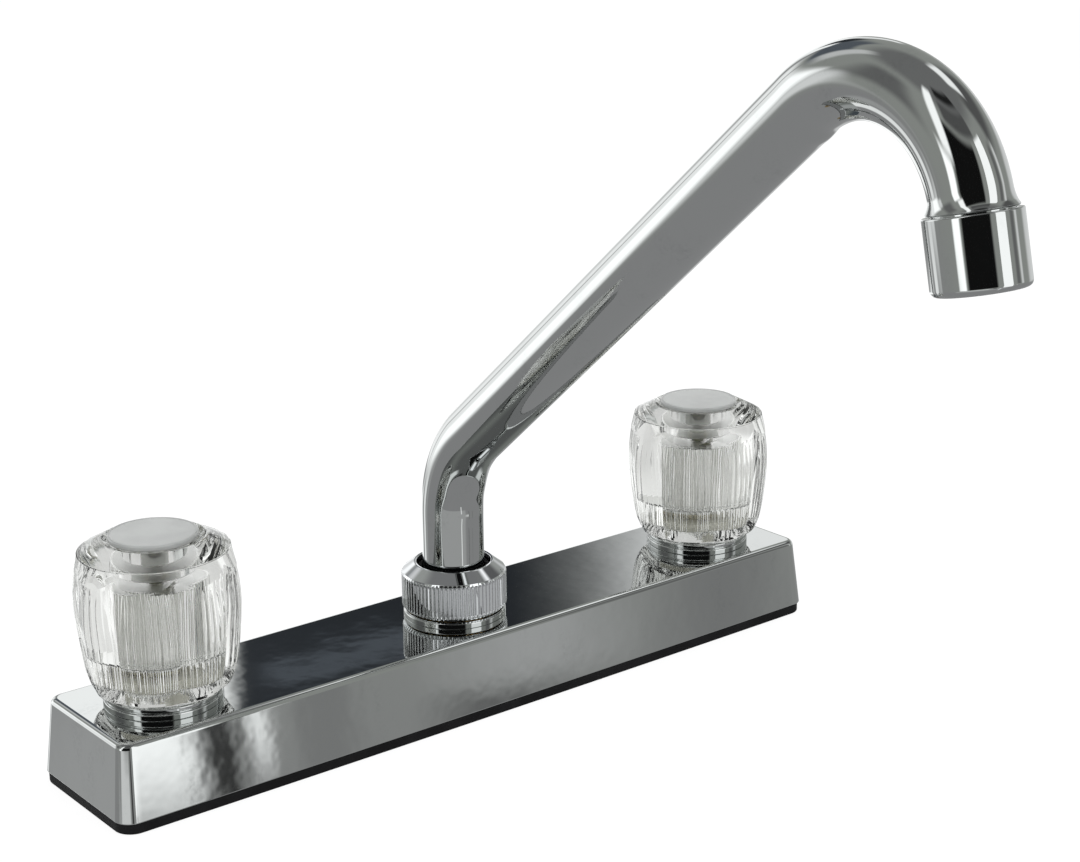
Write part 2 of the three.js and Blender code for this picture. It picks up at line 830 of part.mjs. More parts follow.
// The bent tube, with a collar swaged on it where the aerator is screwed on
function spoutTube() {
  const last = tubeStations.length - 1;
  const bore = tubeStations
    .filter(({ radius }, i) => radius === tubeRadius && i !== last - 1)
    .map((station) => tubeRing(station, tubeRadius - tubeWall));
  const lowEnd = tubeRing(tubeStations[0], tubeRadius - tubeWall, -past);
  const outletEnd = tubeRing(tubeStations[last], tubeRadius - tubeWall, past);
  const outside = tubeStations.map((station) => tubeRing(station, station.radius));
  return cut(lofted(outside), lofted([lowEnd, ...bore.slice(1, -1), outletEnd]));
}

function aeratorShell() {
  const bore = tubeRadius + fitGap;
  const end = fitGap + aeratorLength;
  return turned([
    [bore, fitGap],
    [aeratorRadius, fitGap],
    [aeratorRadius, end - aeratorEdge],
    [aeratorRadius - 0.3 * aeratorEdge, end - 0.3 * aeratorEdge],
    [aeratorRadius - aeratorEdge, end],
    [aeratorLipRadius, end],
    [aeratorLipRadius, end - aeratorLipLength],
    [bore, end - aeratorLipLength],
  ], visibleSides);
}

// The stack in the aerator, from the spout's end to the lip: washer, insert, screen
function addAerator(group) {
  const outer = tubeRadius;
  const washerLow = nippleLength + fitGap;
  const washerHigh = washerLow + aeratorWasherThickness;
  const insertLow = washerHigh + fitGap;
  const insertHigh = insertLow + aeratorInsertHeight;
  const screenHigh = fitGap + aeratorLength - aeratorLipLength - fitGap;
  const holes = Array.from({ length: aeratorHoles }, (_, i) => {
    const angle = (i / aeratorHoles) * 2 * Math.PI;
    const hole = disc(aeratorHoleRadius, insertLow - past, insertHigh + past, 8);
    return hole.translate(aeratorHoleCircle * Math.cos(angle), aeratorHoleCircle * Math.sin(angle), 0);
  });
  const slots = Array.from({ length: screenSlots }, (_, i) => {
    const x = (i - (screenSlots - 1) / 2) * screenSlotPitch;
    const reach = Math.sqrt((aeratorLipRadius - screenRim) ** 2 - x ** 2);
    const slot = new THREE.BoxGeometry(screenSlotWidth, 2 * reach, 4 * screenThickness);
    return slot.translate(x, 0, screenHigh);
  });
  const washer = ring(outer - aeratorWasherWidth, outer, washerLow, washerHigh, smallSides);
  const insertBody = disc(outer, insertLow, insertHigh, smallSides);
  const screenBody = disc(outer, screenHigh - screenThickness, screenHigh, smallSides);
  addPiece(group, "aerator_shell", aeratorShell(), "chrome");
  addPiece(group, "aerator_washer", washer, "rubber");
  addPiece(group, "aerator_insert", cut(insertBody, ...holes), "plastic");
  addPiece(group, "aerator_screen", cut(screenBody, ...slots), "steel");
}

const faucet = new THREE.Group();
addPiece(faucet, "base_gasket", baseGasket(), "rubber");
addPiece(faucet, "deck_cover", deckCover(), "chrome");
faucet.add(handleSide("hot", -handleX, 1, 1));
faucet.add(handleSide("cold", handleX, -1, -1));
addPiece(faucet, "hot_crossover_tube", crossoverTube(-1), "brass");
addPiece(faucet, "cold_crossover_tube", crossoverTube(1), "brass");
addPiece(faucet, "spout_post", spoutPost(), "brass");
addPiece(faucet, "spout_base_ring", baseRing(), "chrome");
addPiece(faucet, "spout_nut", spoutNut(), "chrome");
addPiece(faucet, "spout_seal_ring", spoutSealRing(), "rubber");
addPiece(faucet, "spout_sleeve", spoutSleeve(), "brass");
["lower", "upper"].forEach((which, i) => {
  const section = spoutSealSection - sealEase;
  const seal = sealingRing(postBore - runGap - section, section, spoutSealHeights[i]);
  addPiece(faucet, "spout_" + which + "_seal", seal, "rubber");
});
addPiece(faucet, "spout_tube", spoutTube(), "chrome");

const aerator = new THREE.Group();
aerator.position.set(0, outlet.y, outlet.z);
aerator.rotation.x = quarterTurn - outlet.heading; // turns +Z to the way the water leaves
addAerator(aerator);
faucet.add(aerator);

export default faucet;
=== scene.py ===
# A two handle kitchen faucet on a pale studio floor: chromed deck cover, clear lobed knobs,
# knurled spout nut and a bent swivel spout with an aerator. Sizes below are in millimetres.
import bpy
import numpy as np
from mathutils import Matrix, Vector


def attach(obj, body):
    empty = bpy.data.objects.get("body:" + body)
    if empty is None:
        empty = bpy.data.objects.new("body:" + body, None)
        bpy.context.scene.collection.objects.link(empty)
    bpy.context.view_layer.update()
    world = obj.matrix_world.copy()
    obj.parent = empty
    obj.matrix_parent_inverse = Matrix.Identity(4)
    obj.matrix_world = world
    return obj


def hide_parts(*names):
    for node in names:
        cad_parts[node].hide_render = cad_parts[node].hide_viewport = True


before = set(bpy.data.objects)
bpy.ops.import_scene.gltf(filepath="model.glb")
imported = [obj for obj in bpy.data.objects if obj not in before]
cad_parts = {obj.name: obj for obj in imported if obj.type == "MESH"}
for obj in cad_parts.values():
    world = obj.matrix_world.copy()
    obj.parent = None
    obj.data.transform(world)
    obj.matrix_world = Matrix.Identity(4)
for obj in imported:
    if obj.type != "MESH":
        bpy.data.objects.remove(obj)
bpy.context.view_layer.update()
tau = 2 * np.pi
print("frame loaded,", len(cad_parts), "nodes")

deck = {"handleX": 101.6, "gasketTop": 3.2, "top": 25.4}
# the upright axes that turned pieces stand on
axes = {"hot": -deck["handleX"], "cold": deck["handleX"], "post": 0.0}


# camera, placed in metres
camera = {
    "place": (-0.361205, -0.498445, 0.268832),
    "right": (0.780978, -0.624454, -0.011432),
    "up": (0.189049, 0.218912, 0.957255),
    "forward": (0.595259, 0.749757, -0.289018),
    "lens": 70.957,
}


def placeCamera():
    lensData = bpy.data.cameras.new("photo_camera")
    lensData.sensor_width = 36
    lensData.lens = camera["lens"]
    lensData.clip_start, lensData.clip_end = 0.02, 20
    view = bpy.data.objects.new("photo_camera", lensData)
    bpy.context.scene.collection.objects.link(view)
    columns = [Vector(camera["right"]), Vector(camera["up"]), -Vector(camera["forward"])]
    turn = Matrix(columns).transposed()
    view.matrix_world = Matrix.Translation(camera["place"]) @ turn.to_4x4()
    bpy.context.scene.camera = view


placeCamera()


# node helpers
def newGroup(name, inputs, outputs):
    group = bpy.data.node_groups.new(name, "ShaderNodeTree")
    for label, kind, value in inputs:
        socket = group.interface.new_socket(label, in_out="INPUT", socket_type=kind)
        socket.default_value = value
    for label, kind in outputs:
        group.interface.new_socket(label, in_out="OUTPUT", socket_type=kind)
    return group, group.nodes.new("NodeGroupInput"), group.nodes.new("NodeGroupOutput")


def feed(tree, socket, value):
    if isinstance(value, bpy.types.NodeSocket):
        tree.links.new(value, socket)
    else:
        socket.default_value = value


def connect(tree, target, sources):
    for label, source in sources.items():
        tree.links.new(source, target.inputs[label])


def math(tree, kind, *values):
    node = tree.nodes.new("ShaderNodeMath")
    node.operation = kind
    for socket, value in zip(node.inputs, values):
        feed(tree, socket, value)
    return node.outputs[0]


def remap(tree, value, zero, one):
    # rises or falls softly from 0 at one value to 1 at the other
    node = tree.nodes.new("ShaderNodeMapRange")
    node.interpolation_type = "SMOOTHSTEP"
    for socket, setting in zip(node.inputs, (value, zero, one)):
        feed(tree, socket, setting)
    return node.outputs[0]


def remapPlace(tree, place, limits):
    # the same for a place, with limits in mm
    return remap(tree, place, limits[0] / 1000, limits[1] / 1000)


def mixColour(tree, share, first, second):
    node = tree.nodes.new("ShaderNodeMix")
    node.data_type = "RGBA"
    for index, value in ((0, share), (6, first), (7, second)):
        feed(tree, node.inputs[index], value)
    return node.outputs[2]


def noise(tree, where, scale, detail=2.0, roughness=0.5, stretch=(1, 1, 1)):
    if stretch != (1, 1, 1):
        mapping = tree.nodes.new("ShaderNodeMapping")
        tree.links.new(where, mapping.inputs["Vector"])
        mapping.inputs["Scale"].default_value = stretch
        where = mapping.outputs[0]
    node = tree.nodes.new("ShaderNodeTexNoise")
    tree.links.new(where, node.inputs["Vector"])
    feed(tree, node.inputs["Scale"], scale)
    node.inputs["Detail"].default_value = detail
    node.inputs["Roughness"].default_value = roughness
    return node.outputs["Fac"]


def objectPlace(tree):
    return tree.nodes.new("ShaderNodeTexCoord").outputs["Object"]


def splitPlace(tree, where):
    split = tree.nodes.new("ShaderNodeSeparateXYZ")
    tree.links.new(where, split.inputs[0])
    return split.outputs


def distance(tree, x, y):
    squares = math(tree, "ADD", math(tree, "MULTIPLY", x, x), math(tree, "MULTIPLY", y, y))
    return math(tree, "SQRT", squares)


def raised(tree, height, scale):
    # the normal of a surface raised by height times scale, in metres
    bump = tree.nodes.new("ShaderNodeBump")
    feed(tree, bump.inputs["Distance"], scale)
    tree.links.new(height, bump.inputs["Height"])
    return bump.outputs[0]


# shared effects
grainInputs = [("Colour", "NodeSocketColor", (0.5, 0.5, 0.5, 1)), ("Shade", "NodeSocketColor", (0.4, 0.4, 0.4, 1))]
grainOutputs = [("Colour", "NodeSocketColor"), ("Roughness", "NodeSocketFloat"), ("Normal", "NodeSocketVector")]


def makeLightPolish():
    # low swells of plated metal and faint wipe marks in its gloss
    group, given, out = newGroup("light_polish", [
        ("Swell Scale", "NodeSocketFloat", 40.0), ("Swell Height", "NodeSocketFloat", 0.00005),
        ("Swell Detail", "NodeSocketFloat", 1.5), ("Gloss", "NodeSocketFloat", 0.04),
        ("Wipe", "NodeSocketFloat", 0.03)],
        [("Roughness", "NodeSocketFloat"), ("Normal", "NodeSocketVector"), ("Wear", "NodeSocketFloat")])
    where = objectPlace(group)
    swell = noise(group, where, given.outputs["Swell Scale"])
    group.links.new(given.outputs["Swell Detail"], swell.node.inputs["Detail"])
    smear = noise(group, where, 90.0, 5.0, 0.62, (1, 1, 0.35))
    fine = noise(group, where, 900.0, 3.0, 0.6)
    wear = math(group, "MULTIPLY", remap(group, smear, 0.5, 0.78), remap(group, fine, 0.35, 0.7))
    rough = math(group, "MULTIPLY_ADD", wear, given.outputs["Wipe"], given.outputs["Gloss"])
    normal = raised(group, swell, given.outputs["Swell Height"])
    connect(group, out, {"Roughness": rough, "Normal": normal, "Wear": wear})
    return group


def makeMouldGrain():
    # the fine skin of moulded or cast stock, with flow marks and dust in its low places
    group, given, out = newGroup("mould_grain", grainInputs + [
        ("Scale", "NodeSocketFloat", 600.0), ("Height", "NodeSocketFloat", 0.00003),
        ("Dull", "NodeSocketFloat", 0.45), ("Dull Range", "NodeSocketFloat", 0.15)], grainOutputs)
    where = objectPlace(group)
    grain = noise(group, where, given.outputs["Scale"], 4.0, 0.6)
    cloud = noise(group, where, 70.0, 4.0, 0.55)
    patch = remap(group, cloud, 0.35, 0.68)
    colour = mixColour(group, patch, given.outputs["Colour"], given.outputs["Shade"])
    rough = math(group, "MULTIPLY_ADD", grain, given.outputs["Dull Range"], given.outputs["Dull"])
    normal = raised(group, grain, given.outputs["Height"])
    connect(group, out, {"Colour": colour, "Roughness": rough, "Normal": normal})
    return group


def makeToolMarks():
    # rings that a cutting tool leaves on turned stock, about the part's own upright axis
    group, given, out = newGroup("tool_marks", [
        ("Axis X", "NodeSocketFloat", 0.0), ("Pitch", "NodeSocketFloat", 0.0003), *grainInputs,
        ("Dull", "NodeSocketFloat", 0.3)], grainOutputs)
    ringHeight, cloudShare = 0.000008, 1.5
    where = objectPlace(group)
    x, y, z = splitPlace(group, where)
    reach = math(group, "ADD", distance(group, math(group, "SUBTRACT", x, given.outputs["Axis X"]), y), z)
    turns = math(group, "DIVIDE", reach, given.outputs["Pitch"])
    wave = math(group, "SINE", math(group, "MULTIPLY", turns, tau))
    cloud = noise(group, where, 160.0, 5.0, 0.6)
    normal = raised(group, math(group, "MULTIPLY_ADD", cloud, cloudShare, wave), ringHeight)
    tarnish = remap(group, cloud, 0.42, 0.7)
    colour = mixColour(group, tarnish, given.outputs["Colour"], given.outputs["Shade"])
    rough = math(group, "MULTIPLY_ADD", tarnish, 0.2, given.outputs["Dull"])
    connect(group, out, {"Colour": colour, "Roughness": rough, "Normal": normal})
    return group


lightPolish = makeLightPolish()
mouldGrain = makeMouldGrain()
toolMarks = makeToolMarks()


# finishes
def newFinish(name, plain, effect, values, links):
    material = bpy.data.materials.new(name)
    material.use_nodes = True
    tree = material.node_tree
    shader = tree.nodes["Principled BSDF"]
    for label, value in plain.items():
        shader.inputs[label].default_value = value
    node = tree.nodes.new("ShaderNodeGroup")
    node.node_tree = effect
    for label, value in values.items():
        node.inputs[label].default_value = value
    for source, target in links:
        tree.links.new(node.outputs[source], shader.inputs[target])
    return material


def effectOutput(tree, label):
    return next(n for n in tree.nodes if n.type == "GROUP").outputs[label]


def chromeFinish(name, swellScale, swellHeight, detail=1.5, colour=(0.60, 0.615, 0.61), worn=(0.52, 0.535, 0.53)):
    material = newFinish(name, {"Metallic": 1.0}, lightPolish,
                         {"Swell Scale": swellScale, "Swell Height": swellHeight, "Swell Detail": detail,
                          "Gloss": 0.035}, [("Roughness", "Roughness"), ("Normal", "Normal")])
    tree = material.node_tree
    shade = mixColour(tree, effectOutput(tree, "Wear"), (*colour, 1), (*worn, 1))
    connect(tree, tree.nodes["Principled BSDF"], {"Base Color": shade})
    return material


moulded = [("Colour", "Base Color"), ("Roughness", "Roughness"), ("Normal", "Normal")]
deckChrome = chromeFinish("deck_chrome", 26.0, 0.00009, 4.0)
turnedChrome = chromeFinish("turned_chrome", 60.0, 0.00001)
tubeChrome = chromeFinish("tube_chrome", 45.0, 0.00004)
# the spout nut's chrome is a brighter copy of the same plating: painted light
nutChromePaintedLight = chromeFinish("nut_chrome_painted_light", 60.0, 0.00001, colour=(0.76, 0.775, 0.79), worn=(0.66, 0.675, 0.69))
rubber = newFinish("black_rubber", {"Specular IOR Level": 0.2}, mouldGrain,
                   {"Colour": (0.004, 0.004, 0.0045, 1), "Shade": (0.009, 0.009, 0.010, 1), "Dull": 0.55,
                    "Scale": 900.0, "Height": 0.00004}, moulded)
cream = newFinish("cream_acetal", {}, mouldGrain,
                  {"Colour": (0.80, 0.79, 0.70, 1), "Shade": (0.72, 0.71, 0.61, 1), "Dull": 0.32}, moulded)
bushPlastic = newFinish("bush_plastic", {}, mouldGrain,
                        {"Colour": (0.90, 0.905, 0.875, 1), "Shade": (0.83, 0.835, 0.80, 1), "Dull": 0.2}, moulded)
greyPlastic = newFinish("grey_plastic", {}, mouldGrain,
                        {"Colour": (0.30, 0.31, 0.32, 1), "Shade": (0.25, 0.26, 0.27, 1)}, moulded)


def turnedMetal(name, places, pitch, dull, colour, shade):
    # one finish for each axis that pieces of this metal are turned about
    return {place: newFinish(name + "_" + place, {"Metallic": 1.0}, toolMarks,
                             {"Axis X": axes[place] / 1000, "Pitch": pitch, "Colour": (*colour, 1),
                              "Shade": (*shade, 1), "Dull": dull}, moulded) for place in places}


brass = turnedMetal("brass", ("hot", "cold", "post"), 0.00045, 0.24, (0.69, 0.53, 0.28), (0.50, 0.36, 0.18))
stemBrass = turnedMetal("stem_brass", ("hot", "cold"), 0.00045, 0.24, (0.50, 0.47, 0.36), (0.38, 0.35, 0.25))
steel = turnedMetal("steel", ("hot", "cold", "post"), 0.0007, 0.28, (0.62, 0.63, 0.64), (0.50, 0.51, 0.52))

# clear plastic; the knob's web that the screw draws down on is dull between these heights and inside
# this radius, each given where the dullness begins and where it is full
clear = {
    "colour": (0.97, 0.975, 0.965), "ior": 1.49, "swellHeight": 0.00001, "wipe": 0.05,
    "webLow": (60.3, 60.7), "webHigh": (63.8, 63.4), "webRadius": (9.6, 9.0), "webDull": 0.36,
}


def clearFinish():
    # polished, with flow lines from the mould and a few hazy scuffs
    material = newFinish("clear_acrylic",
                         {"Transmission Weight": 1.0, "IOR": clear["ior"], "Base Color": (*clear["colour"], 1)},
                         lightPolish, {"Swell Scale": 120.0, "Swell Height": clear["swellHeight"],
                                       "Gloss": 0.0, "Wipe": clear["wipe"]}, [("Normal", "Normal")])
    tree = material.node_tree
    x, y, z = splitPlace(tree, objectPlace(tree))
    aside = math(tree, "SUBTRACT", math(tree, "ABSOLUTE", x), deck["handleX"] / 1000)
    height = math(tree, "MULTIPLY", remapPlace(tree, z, clear["webLow"]), remapPlace(tree, z, clear["webHigh"]))
    web = math(tree, "MULTIPLY", height, remapPlace(tree, distance(tree, aside, y), clear["webRadius"]))
    dull = math(tree, "MULTIPLY", web, clear["webDull"])
    rough = math(tree, "MAXIMUM", effectOutput(tree, "Roughness"), dull)
    connect(tree, tree.nodes["Principled BSDF"], {"Roughness": rough})
    return material


clearAcrylic = clearFinish()
# the cap's blank disc is the same plastic, frosted, so what lies under it shows only as a pale grey
frostedAcrylic = newFinish("frosted_acrylic", {"Transmission Weight": 0.3, "IOR": clear["ior"]}, mouldGrain,
                           {"Colour": (0.61, 0.625, 0.61, 1), "Shade": (0.54, 0.555, 0.54, 1), "Scale": 400.0,
                            "Height": 0.00001, "Dull": 0.16, "Dull Range": 0.1}, moulded)


def makeScrewZinc():
    # pale zinc on the screw's head, and a painted shade on the shank below it, where it goes through the knob's web
    shankShade, shankShadeTop = (0.10, 0.10, 0.04, 1), (62.0, 62.8)
    material = newFinish("screw_zinc", {"Metallic": 0.35}, mouldGrain,
                         {"Colour": (0.60, 0.61, 0.56, 1), "Shade": (0.50, 0.51, 0.44, 1), "Dull": 0.3}, moulded)
    tree = material.node_tree
    zinc = remapPlace(tree, splitPlace(tree, objectPlace(tree))[2], shankShadeTop)
    # below the head the shank takes the dark colour, a painted shade
    colour = mixColour(tree, zinc, shankShade, effectOutput(tree, "Colour"))
    connect(tree, tree.nodes["Principled BSDF"], {"Base Color": colour})
    return material


screwZinc = makeScrewZinc()
print("finishes made")


# mesh helpers
def shadeSmooth(mesh, creaseAngle):
    mesh.shade_smooth()
    mesh.set_sharp_from_angle(angle=np.radians(creaseAngle))


def addMesh(name, points, faces, creaseAngle=38, outward=True):
    # points in mm; faces are rows of four corners, a triangle repeating its last one
    quads = faces[faces[:, 2] != faces[:, 3]]
    tris = faces[faces[:, 2] == faces[:, 3]][:, :3]
    if outward:
        corners = np.concatenate([quads[:, [0, 1, 2]], quads[:, [0, 2, 3]], tris])
        a, b, c = (points[corners[:, k]] for k in range(3))
        if np.einsum("ij,ij->i", a, np.cross(b, c)).sum() < 0:
            quads, tris = quads[:, ::-1], tris[:, ::-1]
    loops = np.concatenate([quads.ravel(), tris.ravel()]).astype(np.int32)
    starts = np.concatenate([np.arange(len(quads)) * 4, len(quads) * 4 + np.arange(len(tris)) * 3])
    mesh = bpy.data.meshes.new(name)
    mesh.vertices.add(len(points))
    mesh.vertices.foreach_set("co", (points / 1000).astype(np.float32).ravel())
    mesh.loops.add(len(loops))
    mesh.loops.foreach_set("vertex_index", loops)
    mesh.polygons.add(len(starts))
    mesh.polygons.foreach_set("loop_start", starts.astype(np.int32))
    mesh.update(calc_edges=True)
    mesh.validate()
    shadeSmooth(mesh, creaseAngle)
    piece = bpy.data.objects.new(name, mesh)
    bpy.context.scene.collection.objects.link(piece)
    return piece


def gridFaces(rows, columns, wrapRows=False):
    # faces of a grid whose columns go round, with vertex number row * columns + column
    i = np.arange(rows if wrapRows else rows - 1)[:, None]
    j = np.arange(columns)[None, :]
    k, m = (i + 1) % rows, (j + 1) % columns
    return np.stack([i * columns + j, i * columns + m, k * columns + m, k * columns + j], -1).reshape(-1, 4)


def skinObject(name, grid, wrapRows=False, creaseAngle=38):
    # grid[row, column] are points; the columns go round, and the first and last rows are closed by a
    # fan to their middle unless the rows go round too
    rows, columns = grid.shape[:2]
    points, faces = grid.reshape(-1, 3), gridFaces(rows, columns, wrapRows)
    if not wrapRows:
        centres = np.stack([grid[0].mean(0), grid[-1].mean(0)])
        j = np.arange(columns)
        m = (j + 1) % columns
        low = np.full(columns, len(points))
        first = np.stack([m, j, low, low], -1)
        last = np.stack([(rows - 1) * columns + j, (rows - 1) * columns + m, low + 1, low + 1], -1)
        points = np.concatenate([points, centres])
        faces = np.concatenate([faces, first, last])
    return addMesh(name, points, faces, creaseAngle)


def roundedOutline(outline, steps=5):
    # outline rows are (u, v, radius); each corner with a radius becomes an arc that touches both sides,
    # with one more point just outside each end of the arc so that the flats beside it shade flat
    hold, straight = 0.06, 1.55
    corner = np.array([p[:2] for p in outline], float)
    radius = np.array([p[2] if len(p) > 2 else 0.0 for p in outline], float)
    before, after = np.roll(corner, 1, 0) - corner, np.roll(corner, -1, 0) - corner
    lengths = [np.linalg.norm(v, axis=1) for v in (before, after)]
    before, after = before / lengths[0][:, None], after / lengths[1][:, None]
    opening = np.arccos(np.clip((before * after).sum(1), -1, 1)) / 2
    out = []
    for p, r, b, a, half in zip(corner, radius, before, after, opening):
        if r <= 0 or half > straight:
            out.append(p[None])
            continue
        reach = r / np.tan(half)
        middle = p + (b + a) / np.linalg.norm(b + a) * r / np.sin(half)
        start, end = p + b * reach - middle, p + a * reach - middle
        sweep = np.pi - 2 * half
        t = np.linspace(0, 1, steps + 1)[:, None]
        arc = middle + (np.sin((1 - t) * sweep) * start + np.sin(t * sweep) * end) / np.sin(sweep)
        out.append(np.concatenate([[p + b * (reach + hold)], arc, [p + a * (reach + hold)]]))
    return np.concatenate(out)


def turnedGrid(outline, sides, axis=(0, 0), lobes=None):
    # a profile (r, z) carried round an upright axis: (r cos a, r sin a, z)
    angle = np.arange(sides) / sides * tau
    r, z = outline[:, :1], outline[:, 1:2]
    if lobes is not None:
        r = r + lobes(angle[None], r, z)
    x = axis[0] + r * np.cos(angle)
    y = axis[1] + r * np.sin(angle)
    return np.stack([x, y, np.broadcast_to(z, x.shape)], -1)


def turnedPiece(name, outline, sides=96, axis=(0, 0), steps=5, creaseAngle=38, lobes=None, place=None):
    # a closed outline that keeps off the axis becomes a ring, one that begins and ends on it a solid
    onAxis = outline[0][0] == 0
    profile = roundedOutline(outline, steps)
    if onAxis:
        profile = profile[profile[:, 0] > 1e-6]
    grid = turnedGrid(profile, sides, axis, lobes)
    if place is not None:
        grid = place(grid)
    return skinObject(name, grid, wrapRows=not onAxis, creaseAngle=creaseAngle)


def finish(piece, material, body, slot, *replaced):
    piece.data.materials.clear()
    piece.data.materials.append(material)
    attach(piece, body)
    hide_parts(*replaced)


def carve(piece, *cutters):
    # takes the cutters out of a closed piece
    for cutter in cutters:
        change = piece.modifiers.new("carve", "BOOLEAN")
        change.operation, change.solver, change.object = "DIFFERENCE", "EXACT", cutter
    bpy.context.view_layer.update()
    made = bpy.data.meshes.new_from_object(piece.evaluated_get(bpy.context.evaluated_depsgraph_get()))
    piece.modifiers.clear()
    piece.data = made
    for cutter in cutters:
        bpy.data.objects.remove(cutter)
    shadeSmooth(made, 38)
    return piece


def carveHoles(piece, radii, low, high):
    # upright holes by the name of their axis
    rims = [(np.array([[radius, low], [radius, high]], float), (axes[place], 0)) for place, radius in radii.items()]
    return carve(piece, *[skinObject("cutter", turnedGrid(rim, 96, axis)) for rim, axis in rims])


# deck cover and gasket; the flat is how far in its rows go before they are joined across the top
cover = {
    "length": 258.2, "width": 49.4, "draft": 2.4, "wall": 1.3, "corner": 5.0, "leastCorner": 1.2,
    "cornerShrink": 0.55, "edge": 1.7, "innerEdge": 0.5, "lipOut": 0.3, "lipIn": 0.25, "flat": 12.0, "bow": 0.7,
    "holes": {"hot": 13.1, "cold": 13.1, "post": 14.3}, "cut": (10, 40),
    "bumpOut": 0.9, "bumpTall": 5.0, "bumpWide": 3.2, "bumpIn": 7.0, "bumpUp": 3.6, "bumpRun": 4.0,
}
gasket = {"inset": 0.3, "corner": 5.5, "cornerShrink": 0.9, "edge": 0.5, "rim": 3.0, "bow": 0.7,
          "holes": {"hot": 10.8, "cold": 10.8}, "cut": (-5, 8)}


def deckOutline(length, width, corner, bow):
    # a rectangle with round corners seen from above, whose front side bows out by a parabola
    cornerSteps, longSteps, shortSteps = 12, 40, 8
    length, width, corner, bow = (np.asarray(v, float)[..., None] for v in (length, width, corner, bow))
    quarter = np.repeat(np.arange(4), cornerSteps + 1)
    angle = (quarter + np.tile(np.linspace(0, 1, cornerSteps + 1), 4)) * np.pi / 2
    signX = np.where((quarter == 0) | (quarter == 3), 1, -1)
    signY = np.where(quarter < 2, 1, -1)
    x = signX * (length / 2 - corner) + corner * np.cos(angle)
    y = signY * (width / 2 - corner) + corner * np.sin(angle)
    parts = []
    for side in range(4):
        run = slice(side * (cornerSteps + 1), (side + 1) * (cornerSteps + 1))
        stop = ((side + 1) % 4) * (cornerSteps + 1)
        t = np.linspace(0.02, 0.98, longSteps if side in (0, 2) else shortSteps)
        t = np.concatenate([[0.004], t, [0.996]])
        parts.append(np.stack([x[..., run], y[..., run]], -1))
        parts.append(np.stack([v[..., run.stop - 1:run.stop] * (1 - t) + v[..., stop:stop + 1] * t
                               for v in (x, y)], -1))
    outline = np.concatenate(parts, -2)
    front = outline[..., 1] < 0
    share = np.clip(1 - (outline[..., 0] / (length / 2)) ** 2, 0, 1)
    outline[..., 1] -= np.where(front, bow * share, 0)
    return outline


def deckCover():
    # the outline above carried along an (inset, height) profile that goes up outside and down inside
    c, low, top = cover, deck["gasketTop"], deck["top"]
    wall, flat, under = c["wall"], c["flat"], top - c["wall"]
    profile = roundedOutline([
        (wall - 0.02, low, c["lipIn"]), (0, low, c["lipOut"]), (c["draft"], top, c["edge"]), (flat, top, 0),
        (flat, under, 0), (c["draft"] + wall, under, c["innerEdge"])], 7)
    inset, height = profile[:, 0], profile[:, 1]
    corner = np.clip(c["corner"] - c["cornerShrink"] * inset, c["leastCorner"], None)
    outline = deckOutline(c["length"] - 2 * inset, c["width"] - 2 * inset, corner,
                          c["bow"] * (1 - np.clip(inset / flat, 0, 1)))
    x, y = outline[..., 0], outline[..., 1]
    z = np.broadcast_to(height[:, None], x.shape)
    # a low swelling at the foot of the right end, at its front corner
    along, up = y + c["width"] / 2 - c["bumpIn"], z - low - c["bumpUp"]
    near = np.exp(-(along / c["bumpWide"]) ** 2 - (up / (c["bumpTall"] / 2)) ** 2)
    outside = (inset < wall - 0.03)[:, None] & (x > c["length"] / 2 - c["bumpRun"])
    x = x + np.where(outside, c["bumpOut"] * near, 0)
    grid = np.stack([x, y, z], -1)
    # the rows at the flat's edge come first and last, so that they are closed across the top
    upper = int(np.argmax(inset >= flat - 1e-6))
    order = np.concatenate([np.arange(upper + 1, len(inset)), np.arange(upper + 1)])
    return carveHoles(skinObject("deck_cover_shell", grid[order]), c["holes"], *c["cut"])


def baseGasket():
    # the cover's outline, a little smaller, carried along an (inset, height) profile round its rim
    g, top = gasket, deck["gasketTop"]
    profile = roundedOutline([(g["rim"], 0, 0), (0, 0, g["edge"]), (0, top, g["edge"]), (g["rim"], top, 0)], 4)
    inward, height = profile[:, 0], profile[:, 1]
    inset = inward + g["inset"]
    outline = deckOutline(cover["length"] - 2 * inset, cover["width"] - 2 * inset,
                          g["corner"] - g["cornerShrink"] * inward, g["bow"] * (inward < g["rim"] - 0.1))
    grid = np.concatenate([outline, np.broadcast_to(height[:, None, None], outline.shape[:2] + (1,))], -1)
    return carveHoles(skinObject("gasket_pad", grid), g["holes"], *g["cut"])


finish(deckCover(), deckChrome, "deck_assembly", "chrome", "deck_cover")
finish(baseGasket(), rubber, "deck_assembly", "black_rubber", "base_gasket")
print("deck cover and gasket made")


# clear knobs and what is in them; a crest, edge, corner or shoulder is (radius, height)
knob = {
    "base": 30.5, "lobes": 8, "turn": {"hot": 8.0, "cold": -8.0}, "depth": 1.5, "topDepth": 0.75,
    "crest": [(19.4, 30.9), (20.6, 33.6), (21.8, 39.5), (22.55, 45), (23.0, 50), (23.15, 55), (22.9, 60),
              (22.35, 64.5)],
    "flats": [(0, 0), (0.2, 0.03), (0.45, 0.18), (0.72, 0.48), (1, 1)],
    "footDepth": 0.55, "footEaseTop": 36, "topEaseLow": 50, "footIn": 0.35,
    "edge": (22.35, 64.5), "corner": (21.1, 70.0), "shoulder": (14.35, 73.6),
    "cavity": 14.3, "cavityTop": 41.3, "cavityRibLow": 34, "bore": 9.5, "boreTop": 61.1, "webTop": 63.1,
    "well": 7.3, "capSeat": 72.9, "screwHole": 2.2, "capRecess": 12.8, "ribs": 64, "ribDepth": 0.42,
    "ribRise": 0.1, "cavityRibDepth": 0.4, "facets": 64, "facetDepth": 0.12,
}


